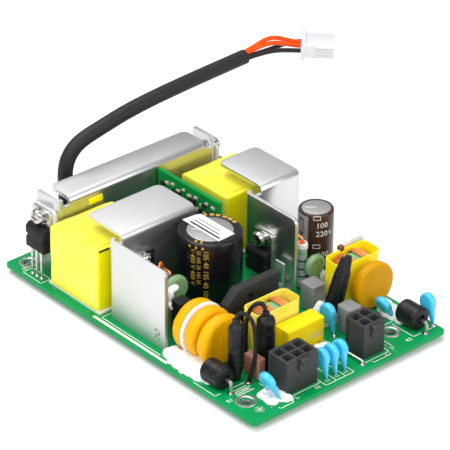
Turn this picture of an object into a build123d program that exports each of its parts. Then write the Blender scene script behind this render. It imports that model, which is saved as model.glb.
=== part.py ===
from build123d import *
import math
import os

# Open-frame switch-mode power supply on one circuit board.
# All sizes are millimetres. Places on the board are measured from its front left corner:
# X along the short front edge, Y along the long left edge, Z up from the board's underside.
# The finished model is moved so that its origin is the middle of the board, at the tail tips.

# Circuit board
board_w = 87.4
board_l = 132.4
board_t = 1.6
board_corner = 1.5
tail_drop = 2.0

# Mounting holes and their plated rings
hole_left_x = 6.5
hole_right_x = 71.9
hole_front_y = 11.4
hole_rear_y = board_l - 5.4
hole_bore_r = 1.65
ring_wall = 0.3
ring_flange_r = 3.65
ring_flange_t = 0.25

# Power headers, square cells on one pitch
cell_pitch = 4.2
cell_size = 3.4
cell_cut = 0.85
header_wall = 0.6
header_h = 12.8
header_floor = 2.4
header_pin = 1.07
header_pin_reach = 9.0
latch_w = 3.6
latch_h = 4.2
latch_d = 1.3
latch_drop = 0.5
key_groove_w = 0.6
key_groove_d = 0.3
header_six_x = 18.5
header_six_y = 5.0
header_four_x = 52.8
header_four_y = 4.5

# Bent aluminium sheet: the rear bracket and two heatsinks
sheet_t = 1.5
sheet_bend = 1.0
metal_top = 32.0
flange_relief = 3.0
flange_corner = 2.5
wing_corner = 2.0
bracket_wall_y = 111.7
bracket_left_x = 8.0
bracket_right_x = 80.8
bracket_depth = 11.6
bracket_flange_left = 13.5
bracket_flange_right = 75.5
left_sink_x = 5.6
left_sink_right = 43.4
left_sink_wall_y = 80.0
left_sink_wing_end = 51.5
left_sink_flange_x = 11.0
left_sink_flange_back = 99.4
right_sink_x = 62.3
right_sink_right = 87.2
right_sink_wall_y = 74.6
right_sink_wing_end = 49.5
right_sink_flange_x = 69.3
right_sink_flange_back = 98.0

# Power transistors in a tab package, with their screws and washers
case_w = 10.0
case_h = 9.2
case_d = 3.1
case_top_slope = 1.2
case_notch = 0.8
tab_t = 1.3
tab_h = 15.5
tab_hole_z = 12.9
tab_hole_r = 1.8
lead_pitch = 2.54
lead_w = 0.8
lead_t = 0.5
lead_shoulder_w = 1.3
lead_shoulder_h = 3.4
lead_depth = 3.6
pad_plate_t = 1.2
pad_plate_w = 12.6
pad_plate_h = 17.0
pad_plate_over = 3.1
screw_r = 1.5
screw_head_r = 2.85
screw_head_h = 2.0
recess_arm = 1.7
recess_w = 0.6
recess_depth = 0.9
spring_washer_r = 2.6
spring_washer_t = 0.7
flat_washer_r = 3.2
flat_washer_t = 0.5
nut_h = 2.4
nut_across = 5.5
bracket_device_y = 118.0
bracket_device_z = 12.3
left_sink_device_x = 19.0
left_sink_device_z = 7.5
right_sink_device_y = 65.0
right_sink_device_z = 6.0

# Wrapped transformers
bobbin_h = 1.0
bobbin_lip = 0.9
bobbin_inset = 0.4
wrap_top = 26.6
wrap_corner = 1.6
wrap_slope = 3.0
left_transformer_x = 2.8
left_transformer_w = 26.8
left_transformer_y = 84.2
left_transformer_l = 26.4
right_transformer_x = 60.9
right_transformer_w = 25.2
right_transformer_y = 83.2
right_transformer_l = 25.6

# Electrolytic capacitors
main_cap_x = 38.8
main_cap_y = 66.9
main_cap_r = 11.3
main_cap_top = 30.0
main_disc_r = 8.1
small_cap_x = 79.0
small_cap_y = 57.0
small_cap_r = 6.3
small_cap_top = 28.0
small_disc_r = 5.2
rim_round = 1.0
disc_sink = 0.4
groove_z = 4.0
groove_depth = 0.5

# Upright daughter board with small parts on its left face
daughter_x = 52.6
daughter_t = 1.6
daughter_y = 78.4
daughter_l = 32.6
daughter_top = 29.6
daughter_foot = 3.2
chip_stand = 0.9

# Bridge rectifier
bridge_x = 24.6
bridge_w = 23.4
bridge_y = 41.6
bridge_d = 3.6
bridge_z = 4.4
bridge_top = 21.0
bridge_cut = 5.0
bridge_hole_r = 1.6
bridge_hole_x = 34.9
bridge_hole_z = 15.9
bridge_pin_pitch = 5.08

# Coated discs: three surge discs, one inrush disc
surge_r = 8.5
surge_t = 4.8
surge_x = 15.4
surge_y = 32.5
surge_pitch = 6.4
surge_z = 10.2
spacer_t = 0.8
spacer_r = 8.55
inrush_x = 78.4
inrush_y = 25.3
inrush_z = 10.3
inrush_r = 8.3
inrush_t = 3.6
disc_round = 1.3
disc_lead_r = 0.4
disc_lead_gap = 7.5

# Sleeved surge arresters that lie along Y, with a hooked lead each
arrester_r = 4.2
arrester_l = 9.0
arrester_rim = 0.7
arrester_bore_r = 1.5
arrester_left_x = 5.9
arrester_left_y = 20.8
arrester_right_x = 80.6
arrester_right_y = 5.4
arrester_lead_r = 0.55
arrester_lead_out = 2.6

# Sleeved fuses that stand on end, with a looped lead
fuse_left_x = 12.7
fuse_left_y = 23.6
fuse_left_r = 2.6
fuse_left_top = 25.2
fuse_right_x = 24.6
fuse_right_y = 22.2
fuse_right_r = 3.1
fuse_right_top = 24.0
fuse_neck_r = 1.3
fuse_neck_h = 2.2
fuse_taper = 5.0
fuse_loop_r = 1.0
fuse_loop_rise = 2.4
fuse_loop_bend = 1.6

# The sleeved fuse that leans on the rear choke: foot, head and the section of its two tubes
leaning_foot = (60.2, 29.4, 1.6)
leaning_head = (66.9, 28.6, 25.0)
leaning_w = 4.2
leaning_d = 3.0
leaning_tip_w = 2.0
leaning_tip_d = 1.2

# Common-mode chokes: a ring core on edge in a taped sleeve that is open at the top
choke_w = 19.4
choke_d = 9.2
choke_wall = 0.4
choke_corner = 2.6
choke_base_h = 1.0
choke_inset = 0.8
core_r = 5.9
core_wall = 3.0
core_d = 5.4
core_clearance = 0.6
turn_t = 0.75
turn_w = 1.5
turn_count = 10
turn_step = 17.0
front_choke_x = 27.2
front_choke_y = 28.4
front_choke_top = 17.5
rear_choke_x = 67.6
rear_choke_y = 31.9
rear_choke_top = 19.3

# Box parts on the board: x, y, width, length, top
film_box = (33.4, 20.6, 16.6, 7.0, 12.4)
pink_box = (17.4, 17.7, 3.5, 7.4, 9.2)
grey_box_rear = (59.2, 36.6, 6.1, 6.7, 12.0)
grey_box_front = (58.8, 17.9, 6.0, 6.4, 11.9)
dark_box = (13.6, 53.0, 5.4, 5.0, 16.0)
box_round = 0.5
box_stand = 0.3

# Small blue capacitors: a coated disc with two coated legs
blue_r = 3.2
blue_t = 2.6
blue_round = 0.8
blue_leg_r = 1.25
blue_foot_r = 0.45
blue_leg_gap = 7.0
blue_row_x = 35.6
blue_row_y = 3.6
blue_row_pitch = 4.15
blue_head_z = 9.4
# x, y of the front pad, height of the disc's middle, lean to the rear and lean to the left
blue_places = [
    (15.6, 4.2, 8.2, 8.0, 28.0), (55.6, 21.6, 9.6, 0.0, 0.0), (85.9, 4.6, 9.4, 0.0, -3.0),
    (79.2, 16.8, 6.6, 0.0, 24.0),
]

# Green coated capacitors, banded resistors and the jumper
green_t = 3.0
green_round = 1.1
green_leaf = (70.6, 46.6, 11.6, 4.2)
green_dome = (20.0, 61.6, 15.2, 5.2)
banded_front = (68.0, 51.8, 1.95, 20.6)
banded_rear = (19.6, 69.0, 2.6, 19.6)
resistor_waist = 0.3
resistor_stand = 1.0
resistor_wire_r = 0.4
resistor_loop = 1.3
jumper_x = 50.9
jumper_front = 2.8
jumper_back = 15.0
jumper_r = 0.45

# The cream card that stands behind the rear choke
card_x = 77.0
card_w = 10.2
card_y = 41.4
card_t = 1.7
card_top = 19.8

# The tinned lug at the right heatsink's wing
lug_y = 52.2
lug_w = 4.6
lug_h = 12.6
lug_t = 0.8
lug_gap = 1.6

# White silicone: middle, width, length, height and turn, and the nodes it is drawn against
silicone_places = [
    (6.7, 38.6, 11.4, 28.6, 3.0, 0.0), (16.4, 7.4, 6.6, 12.6, 1.2, 25.0), (60.4, 29.4, 8.0, 6.0, 6.0, 0.0),
    (66.6, 43.6, 5.0, 6.0, 8.0, 0.0), (80.6, 20.4, 7.6, 13.6, 2.4, -8.0), (47.0, 17.6, 7.0, 4.6, 2.6, 0.0),
]
silicone_round = [
    "surge_discs", "surge_disc_spacer", "disc_legs", "arrester_sleeves", "left_fuse_sleeve", "fuse_return_leads",
    "inrush_disc", "choke_sleeves", "choke_bases", "rear_grey_film_capacitor", "front_grey_film_capacitor",
    "film_capacitor", "leaning_sleeved_fuse", "blue_capacitor_row", "blue_capacitors", "six_way_header",
    "green_capacitors", "four_way_header", "jumper_wire", "left_heatsink", "header_pins",
    "mounting_rings", "arrester_leads", "pink_film_capacitor",
]

oval_sides = 14

# Solder joints under the board
joint_r = 1.0
joint_tip_r = 0.35
round_sides = 8
rod_sides = 6
screw_sides = 10
washer_sides = 16
disc_sides = 24
sleeve_sides = 12
joint_sides = 6

# Cable to the signal connector
cable_r = 2.75
cable_y = 128.0
cable_points = [
    (24.8, board_t), (24.8, 14.8), (24.2, 25.2), (24.3, 33.4), (26.9, 38.3), (31.4, 41.3),
    (39.9, 43.2), (56.0, 46.3), (82.2, 48.1), (108.2, 49.1),
]
cable_most_radius = 2000.0
wire_r = 0.85
wire_lead_in = 3.0
wire_most_radius = 7.0
plug_l = 12.2
plug_w = 11.0
plug_h = 5.0
plug_x = 136.4
plug_z = 44.6
plug_turn = -45.0
plug_flange_l = 1.6
plug_flange_step = 0.7
plug_rib_t = 0.5
# Wires at the sleeve's end: sideways place, height, bow and where each enters the plug
orange_rows = [(0.9, 1.2, 2.6, 1.4), (-0.9, -1.0, -1.0, -4.1)]
black_rows = [(-0.9, 0.9, 1.6, -1.4), (0.9, -0.9, 0.2, 4.1)]

LOW = (Align.MIN, Align.MIN, Align.MIN)
STANDING = (Align.CENTER, Align.CENTER, Align.MIN)
hole_outer_r = hole_bore_r + ring_wall
screw_flat_r = screw_r * math.cos(math.pi / screw_sides)
header_depth = 2 * cell_pitch + 2 * header_wall
core_half_w = choke_w / 2 - choke_wall - core_clearance - turn_t
core_straight = 2 * (core_half_w - core_r)


def block(x, y, z, dx, dy, dz):
    """A box from its lowest corner."""
    return Pos(x, y, z) * Box(dx, dy, dz, align=LOW)


def post(x, y, z, radius, height):
    """An upright cylinder from the middle of its foot."""
    return Pos(x, y, z) * Cylinder(radius, height, align=STANDING)


def along_y(x, y, z, radius, length):
    """A cylinder that runs towards +Y from its front face."""
    return Pos(x, y, z) * Rot(X=-90) * Cylinder(radius, length, align=STANDING)


def along_x(x, y, z, radius, length):
    """A cylinder that runs towards +X from its left face."""
    return Pos(x, y, z) * Rot(Y=90) * Cylinder(radius, length, align=STANDING)


def rounded_bar(x, y, z, dx, dy, dz, radius):
    """A box with rounded upright edges."""
    plan = Pos(x + dx / 2, y + dy / 2) * RectangleRounded(dx, dy, radius)
    return Pos(0, 0, z) * extrude(plan, dz)


def soft_radii(points, most):
    """A bend radius for each inner point, as large as its two runs allow."""
    radii = []
    for before, here, after in zip(points, points[1:], points[2:]):
        turn = math.radians((here - before).get_angle(after - here))
        shorter = min((here - before).length, (after - here).length)
        radii.append(min(0.45 * shorter / math.tan(turn / 2), most))
    return radii


def faceted(loops):
    """A solid of flat faces through loops of points: the first and the last loop are its ends."""
    faces = [Face(Wire.make_polygon(loop)) for loop in (loops[0], loops[-1])]
    for low, high in zip(loops, loops[1:]):
        for index, corner in enumerate(low):
            after = (index + 1) % len(low)
            faces.append(Face(Wire.make_polygon([corner, low[after], high[after], high[index]])))
    return Solid(Shell(faces))


def polygon_points(radius, sides):
    """Corners of a polygon with flats towards both axes, by its radius across flats."""
    step = 2 * math.pi / sides
    corner = radius / math.cos(step / 2)
    turns = [(index + 0.5) * step for index in range(sides)]
    return [(corner * math.cos(turn), corner * math.sin(turn)) for turn in turns]


def turned(rings, sides):
    """An upright flat-sided body through polygons, each a radius across flats and a height."""
    return faceted([[Vector(x, y, z) for x, y in polygon_points(radius, sides)] for radius, z in rings])


def rimmed(radius, thickness, rim, sides):
    """A flat-sided disc on the ground, its two rims cut back."""
    return turned([(radius - rim, 0), (radius, rim), (radius, thickness - rim), (radius - rim, thickness)], sides)


def prism_along_y(x, y, z, radius, length, sides):
    """A flat-sided bar that runs towards +Y from its front face."""
    return Pos(x, y, z) * Rot(X=-90) * turned([(radius, 0), (radius, length)], sides)


def tapered_leg(foot, head, foot_r, head_r):
    """A straight flat-sided leg between two places, of a radius at each end."""
    frame = Plane(origin=foot, x_dir=(1, 0, 0), z_dir=head - foot)
    length = (head - foot).length
    return frame * turned([(foot_r, 0), (head_r, length)], rod_sides)


def bent_rod(points, radius, cut):
    """A thin wire along straight runs, with each corner cut off at one distance from it."""
    ends = [Vector(*point) for point in points]
    route = [ends[0]]
    for before, here, after in zip(ends, ends[1:], ends[2:]):
        route += [here + (before - here).normalized() * cut, here + (after - here).normalized() * cut]
    route.append(ends[-1])
    ways = [(after - here).normalized() for here, after in zip(route, route[1:])]
    start = Plane(origin=route[0], z_dir=ways[0])
    loops = [[start.from_local_coords(Vector(x, y, 0)) for x, y in polygon_points(radius, rod_sides)]]
    for index, way in enumerate(ways):
        mitre = (way + ways[min(index + 1, len(ways) - 1)]).normalized()
        reached = []
        for point in loops[-1]:
            run = (route[index + 1] - point).dot(mitre) / way.dot(mitre)
            reached.append(point + way * run)
        loops.append(reached)
    return faceted(loops)


def rod(points, radius, bend):
    """A thin wire, eight-sided, along straight runs joined by arcs of one radius or a list."""
    path = FilletPolyline(*points, radius=bend)
    section = Plane(origin=path @ 0, z_dir=path % 0) * RegularPolygon(radius, round_sides, major_radius=False)
    return sweep(section, path)


def thin_post(x, y, z, radius, height):
    """An upright eight-sided wire."""
    return Pos(x, y, z) * extrude(RegularPolygon(radius, round_sides, major_radius=False), height)


def bent_sheet(points, breadth, across):
    """A strip of the aluminium sheet along its middle line, as broad as stated across it."""
    path = FilletPolyline(*points, radius=sheet_bend + sheet_t / 2)
    section = Plane(origin=path @ 0, x_dir=across, z_dir=path % 0) * Rectangle(breadth, sheet_t)
    return sweep(section, path)


def circuit_board():
    """The board with its four mounting holes."""
    body = rounded_bar(0, 0, 0, board_w, board_l, board_t, board_corner)
    for x, y in mounting_holes():
        body -= post(x, y, -1, hole_outer_r, board_t + 2)
    return body


def mounting_holes():
    return [(x, y) for x in (hole_left_x, hole_right_x) for y in (hole_front_y, hole_rear_y)]


def mounting_ring(x, y):
    """A plated eyelet: a barrel through the board with a flat flange on top."""
    top = board_t + ring_flange_t
    profile = Polyline(
        (hole_bore_r, 0), (hole_outer_r, 0), (hole_outer_r, board_t), (ring_flange_r, board_t),
        (ring_flange_r, top), (hole_bore_r, top),
        close=True)
    return Pos(x, y, 0) * revolve(Plane.XZ * make_face(profile), Axis.Z)


def cell_outline(size, cut):
    """One header cell, with two corners cut where the plug is keyed."""
    cell = Rectangle(size, size)
    if cut > 0:
        cell = chamfer(cell.vertices().group_by(Axis.Y)[-1], cut)
    return cell


def header_cells(x, y, columns):
    """The middle of each cell and whether its corners are cut."""
    cells = []
    for column in range(columns):
        for row in range(2):
            centre_x = x + header_wall + (column + 0.5) * cell_pitch
            centre_y = y + header_wall + (row + 0.5) * cell_pitch
            keyed = (column == 0) if row == 0 else (column > 0)
            cells.append((centre_x, centre_y, keyed))
    return cells


def header_width(columns):
    return columns * cell_pitch + 2 * header_wall


def header_housing(x, y, columns):
    """A vertical power header: keyed cells, pin slots in the floor, a latch ramp and a key groove."""
    width = header_width(columns)
    body = block(x, y, board_t, width, header_depth, header_h)
    body = chamfer(body.edges().filter_by(Axis.Z).sort_by(Axis.Y)[-2:], 0.6)
    for cx, cy, keyed in header_cells(x, y, columns):
        outline = cell_outline(cell_size, cell_cut if keyed else 0)
        body -= Pos(cx, cy, board_t + header_floor) * extrude(outline, header_h)
        body -= Pos(cx, cy, board_t - 1) * Box(header_pin, header_pin, header_floor + 2, align=STANDING)
    latch_top = board_t + header_h - latch_drop
    ramp = Polyline((0, latch_top), (0, latch_top - latch_h), (-latch_d, latch_top - latch_h), close=True)
    ramp_x = x + (width - latch_w) / 2
    body += Pos(ramp_x, y, 0) * extrude(Plane.YZ * make_face(ramp), latch_w)
    groove_y = y + header_depth - 2.2
    body -= block(x - 1, groove_y, board_t - 1, 1 + key_groove_d, key_groove_w, header_h + 2)
    return body


def header_pins():
    """The ten square pins that stand in the two headers."""
    pins = []
    for x, y, columns in header_places():
        for cx, cy, _ in header_cells(x, y, columns):
            pin = Pos(cx, cy, board_t) * Box(header_pin, header_pin, header_pin_reach, align=STANDING)
            pins.append(chamfer(pin.faces().sort_by(Axis.Z)[-1].edges(), 0.25))
    return pins


def header_places():
    return [(header_six_x, header_six_y, 3), (header_four_x, header_four_y, 2)]


def heatsink(left, right, wall_y, wing_end, flange_x, flange_back):
    """A heatsink folded from one sheet: a wall across, a wing to the front, a flange to the rear."""
    height = metal_top - board_t
    middle_z = board_t + height / 2
    half = sheet_t / 2
    plan = [(right, wall_y + half, middle_z), (left + half, wall_y + half, middle_z),
            (left + half, wing_end, middle_z)]
    sheet = bent_sheet(plan, height, (0, 0, 1))
    relief_z = metal_top - flange_relief
    notch_x = left + sheet_t + sheet_bend
    sheet -= block(notch_x, wall_y - 1, relief_z, right, sheet_t + 2, flange_relief + 1)
    front_edge = sheet.edges().filter_by(Axis.X).group_by(Axis.Y)[0].sort_by(Axis.Z)[-1]
    sheet = fillet(front_edge, wing_corner)
    middle_x = (flange_x + right) / 2
    fold = [(middle_x, wall_y + half, relief_z), (middle_x, wall_y + half, metal_top - half),
            (middle_x, flange_back, metal_top - half)]
    flange = bent_sheet(fold, right - flange_x, (1, 0, 0))
    corners = flange.edges().filter_by(Axis.Z).group_by(Axis.Y)[-1]
    return sheet + fillet(corners, flange_corner)


def left_heatsink():
    sheet = heatsink(left_sink_x, left_sink_right, left_sink_wall_y, left_sink_wing_end,
                     left_sink_flange_x, left_sink_flange_back)
    screw_z = left_sink_device_z + tab_hole_z
    return sheet - along_y(left_sink_device_x, left_sink_wall_y - 1, screw_z, screw_r, sheet_t + 2)


def right_heatsink():
    sheet = heatsink(right_sink_x, right_sink_right, right_sink_wall_y, right_sink_wing_end,
                     right_sink_flange_x, right_sink_flange_back)
    screw_z = right_sink_device_z + tab_hole_z
    return sheet - along_x(right_sink_x - 1, right_sink_device_y, screw_z, screw_r, sheet_t + 2)


def rear_bracket():
    """The rear bracket: a wall across, a wing at each end and a flange, all folded to the rear."""
    height = metal_top - board_t
    middle_z = board_t + height / 2
    half = sheet_t / 2
    left = bracket_left_x + half
    right = bracket_right_x - half
    back = bracket_wall_y + bracket_depth
    plan = [(left, back, middle_z), (left, bracket_wall_y + half, middle_z),
            (right, bracket_wall_y + half, middle_z), (right, back, middle_z)]
    sheet = bent_sheet(plan, height, (0, 0, 1))
    relief_z = metal_top - flange_relief
    notch_left = bracket_left_x + sheet_t + sheet_bend
    notch_right = bracket_right_x - sheet_t - sheet_bend
    sheet -= block(notch_left, bracket_wall_y - 1, relief_z, notch_right - notch_left,
                   sheet_t + 2, flange_relief + 1)
    middle_x = (bracket_flange_left + bracket_flange_right) / 2
    fold = [(middle_x, bracket_wall_y + half, relief_z), (middle_x, bracket_wall_y + half, metal_top - half),
            (middle_x, back, metal_top - half)]
    flange = bent_sheet(fold, bracket_flange_right - bracket_flange_left, (1, 0, 0))
    corners = flange.edges().filter_by(Axis.Z).group_by(Axis.Y)[-1]
    sheet += fillet(corners, flange_corner)
    screw_z = bracket_device_z + tab_hole_z
    return sheet - along_x(bracket_left_x - 1, bracket_device_y, screw_z, screw_r, board_w)


def device_seats():
    """Where each power transistor seats: its face's place, its turn and the depth behind its tab."""
    return {
        "rear_left": (bracket_left_x - pad_plate_t, bracket_device_y, bracket_device_z, -90),
        "rear_right": (bracket_right_x + pad_plate_t, bracket_device_y, bracket_device_z, 90),
        "left_heatsink": (left_sink_device_x, left_sink_wall_y, left_sink_device_z, 0),
        "right_heatsink": (right_sink_x, right_sink_device_y, right_sink_device_z, -90),
    }


def seated(name, shape):
    """A shape drawn against the plane Y = 0, facing -Y, put on one of the device seats."""
    x, y, z, turn = device_seats()[name]
    return Pos(x, y, z) * Rot(Z=turn) * shape


def transistor_case():
    """The moulded case: a sloped top edge and a notch in each side."""
    front = -(tab_t + case_d)
    case = block(-case_w / 2, front, 0, case_w, case_d, case_h)
    top_edge = case.edges().filter_by(Axis.X).sort_by(lambda e: e.center().Z - e.center().Y)[-1]
    case = chamfer(top_edge, case_top_slope)
    for side in (-1, 1):
        case -= Pos(side * case_w / 2, front, case_h * 0.42) * Box(
            2 * case_notch, 1.6 * case_d, 1.3, align=(Align.CENTER, Align.CENTER, Align.MIN))
    return case


def transistor_metal(foot_z):
    """The tab with its hole, and three stepped leads down to the board."""
    tab = block(-case_w / 2, -tab_t, 0, case_w, tab_t, tab_h)
    tab = chamfer(tab.edges().filter_by(Axis.Y).group_by(Axis.Z)[-1], 0.8)
    tab -= prism_along_y(0, -tab_t - 1, tab_hole_z, tab_hole_r, tab_t + 2, screw_sides)
    reach = foot_z - board_t
    leads = []
    for index in (-1, 0, 1):
        x = index * lead_pitch
        y = -(lead_depth + lead_t / 2)
        shoulder = block(x - lead_shoulder_w / 2, y, -lead_shoulder_h, lead_shoulder_w, lead_t, lead_shoulder_h)
        tail = block(x - lead_w / 2, y, -reach, lead_w, lead_t, reach)
        leads.append(shoulder + tail)
    return [tab] + leads


def screw(grip):
    """A pan-head screw along Y, its head in front, with a cross recess."""
    rings = [(screw_head_r, 0), (screw_head_r, 0.35 * screw_head_h), (screw_head_r * 0.8, 0.78 * screw_head_h),
             (screw_head_r * 0.45, screw_head_h)]
    head = turned(rings, washer_sides)
    for turn in (0, 90):
        head -= Pos(0, 0, screw_head_h) * Rot(Z=turn) * Box(2 * recess_arm, recess_w, 2 * recess_depth)
    body = Rot(X=90) * head
    return body + prism_along_y(0, 0, 0, screw_flat_r, grip, screw_sides)


def washer(radius, thickness):
    rim = prism_along_y(0, 0, 0, radius, thickness, washer_sides)
    return rim - prism_along_y(0, -1, 0, screw_flat_r, thickness + 2, screw_sides)


def hex_nut():
    nut = Rot(X=-90) * extrude(RegularPolygon(nut_across / 2, 6, major_radius=False), nut_h)
    return nut - prism_along_y(0, -1, 0, screw_flat_r, nut_h + 2, screw_sides)


def fastener_sets():
    """One screw, two washers and a nut for each transistor, in the order they are stacked."""
    screws, springs, flats, nuts = [], [], [], []
    for name in device_seats():
        plate = pad_plate_t if name.startswith("rear") else 0
        back = plate + sheet_t
        flat_y = -(tab_t + flat_washer_t)
        spring_y = flat_y - spring_washer_t
        grip = back + nut_h - spring_y
        stack = Pos(0, 0, tab_hole_z)
        screws.append(seated(name, stack * Pos(0, spring_y, 0) * screw(grip)))
        springs.append(seated(name, stack * Pos(0, spring_y, 0) * washer(spring_washer_r, spring_washer_t)))
        flats.append(seated(name, stack * Pos(0, flat_y, 0) * washer(flat_washer_r, flat_washer_t)))
        nuts.append(seated(name, stack * Pos(0, back, 0) * hex_nut()))
    return screws, springs, flats, nuts


def insulating_plate(name):
    """The white plate between a rear transistor and the bracket."""
    low = tab_hole_z + pad_plate_over - pad_plate_h
    plate = block(-pad_plate_w / 2, 0, low, pad_plate_w, pad_plate_t, pad_plate_h)
    plate = chamfer(plate.edges().filter_by(Axis.Y), 1.0)
    return seated(name, plate - prism_along_y(0, -1, tab_hole_z, screw_flat_r, pad_plate_t + 2, screw_sides))


def bobbin(x, y, w, l):
    """The moulded base under a transformer: it shows at the front and the rear of the wrap."""
    base = block(x + bobbin_inset, y - bobbin_lip, board_t, w - 2 * bobbin_inset, l + 2 * bobbin_lip, bobbin_h)
    slot = w / 3
    for end in (y - bobbin_lip - 1, y + l):
        base -= block(x + slot, end, board_t - 1, slot, 1 + bobbin_lip, bobbin_h + 2)
    return base


def transformer_wrap(x, y, w, l):
    """The taped winding and core: soft upright edges and a sloped rear top edge."""
    z = board_t + bobbin_h
    body = rounded_bar(x, y, z, w, l, wrap_top - z, wrap_corner)
    slope = Polyline((y + l - wrap_slope, wrap_top), (y + l, wrap_top - wrap_slope / 2),
                     (y + l + 1, wrap_top + 1), close=True)
    body -= Pos(x - 1, 0, 0) * extrude(Plane.YZ * make_face(slope), w + 2)
    top = body.faces().sort_by(Axis.Z)[-1]
    return chamfer(top.edges().filter_by(Axis.Y), 0.5)


def capacitor_can(x, y, radius, top, disc_r):
    """A sleeved can with a rolled groove near its foot and a sleeve rim round the top disc."""
    foot_groove = board_t + groove_z
    profile = Polyline(
        (0, board_t), (radius, board_t), (radius, foot_groove - 0.8), (radius - groove_depth, foot_groove),
        (radius, foot_groove + 0.8), (radius, top - rim_round), (radius - rim_round, top), (disc_r, top),
        (disc_r, top - disc_sink), (0, top - disc_sink), close=True)
    return Pos(x, y, 0) * revolve(Plane.XZ * make_face(profile), Axis.Z)


def capacitor_disc(x, y, top, disc_r):
    """The bare aluminium end of a can, with three vent grooves."""
    thickness = disc_sink - 0.05
    disc = post(x, y, top - disc_sink, disc_r, thickness)
    for turn in (0, 120, 240):
        groove = Pos(x, y, top - 0.05) * Rot(Z=turn) * Box(
            disc_r * 0.75, 0.3, 0.3, align=(Align.MIN, Align.CENTER, Align.CENTER))
        disc -= groove
    return disc


def daughter_board():
    """The upright board: its foot is narrower, where its pins enter the main board."""
    z = board_t
    board = block(daughter_x, daughter_y, z, daughter_t, daughter_l, daughter_top - z)
    for y in (daughter_y - 1, daughter_y + daughter_l - 3):
        board -= block(daughter_x - 1, y, z - 1, daughter_t + 2, 4, 1 + daughter_foot)
    hole_y = daughter_y + 2.2
    return board - along_x(daughter_x - 1, hole_y, daughter_top - 2.4, 0.6, daughter_t + 2)


def daughter_chips():
    """Small parts soldered to the upright board: y from its front end, z from its top, width, height."""
    layout = [(4.0, 5.2, 1.3, 2.6), (6.6, 3.4, 1.6, 1.0), (8.6, 6.0, 1.3, 2.6), (12.0, 3.6, 3.0, 4.2),
              (16.6, 6.4, 1.4, 2.6), (20.0, 4.0, 3.9, 5.0), (25.4, 6.2, 1.6, 1.0), (28.6, 3.4, 1.6, 2.6)]
    chips = []
    for from_front, from_top, width, height in layout:
        chips.append(block(daughter_x - chip_stand, daughter_y + from_front, daughter_top - from_top - height,
                           chip_stand, width, height))
    return chips


def bridge_body():
    """The rectifier's flat case, one top corner cut and a screw hole through it."""
    outline = Polyline(
        (bridge_x, bridge_z), (bridge_x + bridge_w, bridge_z), (bridge_x + bridge_w, bridge_top),
        (bridge_x + bridge_cut, bridge_top), (bridge_x, bridge_top - bridge_cut), close=True)
    case = Pos(0, bridge_y + bridge_d, 0) * extrude(Plane.XZ * make_face(outline), bridge_d)
    case = chamfer(case.edges().filter_by(Axis.X).group_by(Axis.Z)[-1], 0.3)
    return case - along_y(bridge_hole_x, bridge_y - 1, bridge_hole_z, bridge_hole_r, bridge_d + 2)


def bridge_pin_places():
    first = bridge_x + (bridge_w - 3 * bridge_pin_pitch) / 2
    return [(first + index * bridge_pin_pitch, bridge_y + bridge_d / 2) for index in range(4)]


def bridge_pins():
    return [thin_post(x, y, board_t, 0.6, bridge_z - board_t) for x, y in bridge_pin_places()]


def coated_disc(x, y, z, radius, thickness, soft):
    """A disc coated in resin, its faces towards -Y and +Y, with a soft rim."""
    disc = rimmed(radius, thickness, min(soft, 0.45 * thickness), disc_sides)
    return Pos(x, y, z) * Rot(X=-90) * disc


def surge_discs():
    return [coated_disc(surge_x, surge_y + index * surge_pitch, surge_z, surge_r, surge_t, disc_round)
            for index in range(3)]


def spacer_disc():
    """The thin white disc that keeps the two rear surge discs apart."""
    gap = surge_pitch - surge_t
    y = surge_y + surge_pitch + surge_t + (gap - spacer_t) / 2
    return prism_along_y(surge_x, y, surge_z, spacer_r, spacer_t, disc_sides)


def disc_legs():
    """Two legs under each coated disc."""
    legs = []
    discs = [(surge_x, surge_y + index * surge_pitch + surge_t / 2, surge_z, surge_r) for index in range(3)]
    discs.append((inrush_x, inrush_y + inrush_t / 2, inrush_z, inrush_r))
    for x, y, z, radius in discs:
        for side in (-1, 1):
            reach = disc_lead_gap / 2
            foot = z - math.sqrt((radius - 0.2) ** 2 - reach ** 2)
            leg = thin_post(x + side * reach, y, board_t, disc_lead_r, foot - board_t)
            legs.append(leg - prism_along_y(x, y - 1, z, radius, 2, disc_sides))
    return legs


def disc_leg_places():
    places = []
    rows = [(surge_x, surge_y + index * surge_pitch + surge_t / 2) for index in range(3)]
    rows.append((inrush_x, inrush_y + inrush_t / 2))
    for x, y in rows:
        places += [(x - disc_lead_gap / 2, y), (x + disc_lead_gap / 2, y)]
    return places


def arrester_sleeve(x, y):
    """The shrunk sleeve over a surge arrester, rolled in at both ends."""
    z = board_t + arrester_r
    body = Pos(x, y, z) * Rot(X=-90) * rimmed(arrester_r, arrester_l, arrester_rim, washer_sides)
    return body - prism_along_y(x, y - 1, z, arrester_bore_r, 2.2, screw_sides)


def arrester_lead(x, y):
    """The front lead: out of the sleeve's mouth, then bent down to its pad."""
    z = board_t + arrester_r
    front = y - arrester_lead_out
    return bent_rod([(x, y + 1.2, z), (x, front, z), (x, front, board_t)], arrester_lead_r, 0.6)


def arrester_places():
    return [(arrester_left_x, arrester_left_y), (arrester_right_x, arrester_right_y)]


def fuse_sleeve(x, y, radius, top):
    """A shrunk sleeve on end: drawn in at its foot, with a neck at the top."""
    body_top = top - fuse_neck_h
    rings = [(radius * 0.62, board_t), (radius, board_t + fuse_taper), (radius, body_top - 1.0),
             (radius * 0.72, body_top), (fuse_neck_r, body_top + 0.5), (fuse_neck_r, top)]
    return Pos(x, y, 0) * turned(rings, sleeve_sides)


def fuse_loop(x, y, top, foot):
    """The sleeved return lead: out of the neck, over and down beside the fuse."""
    rise = top + fuse_loop_rise
    points = [(x, y, top), (x, y, rise), (foot[0], foot[1], rise), (foot[0], foot[1], board_t)]
    return bent_rod(points, fuse_loop_r, 0.6 * fuse_loop_bend)


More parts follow.
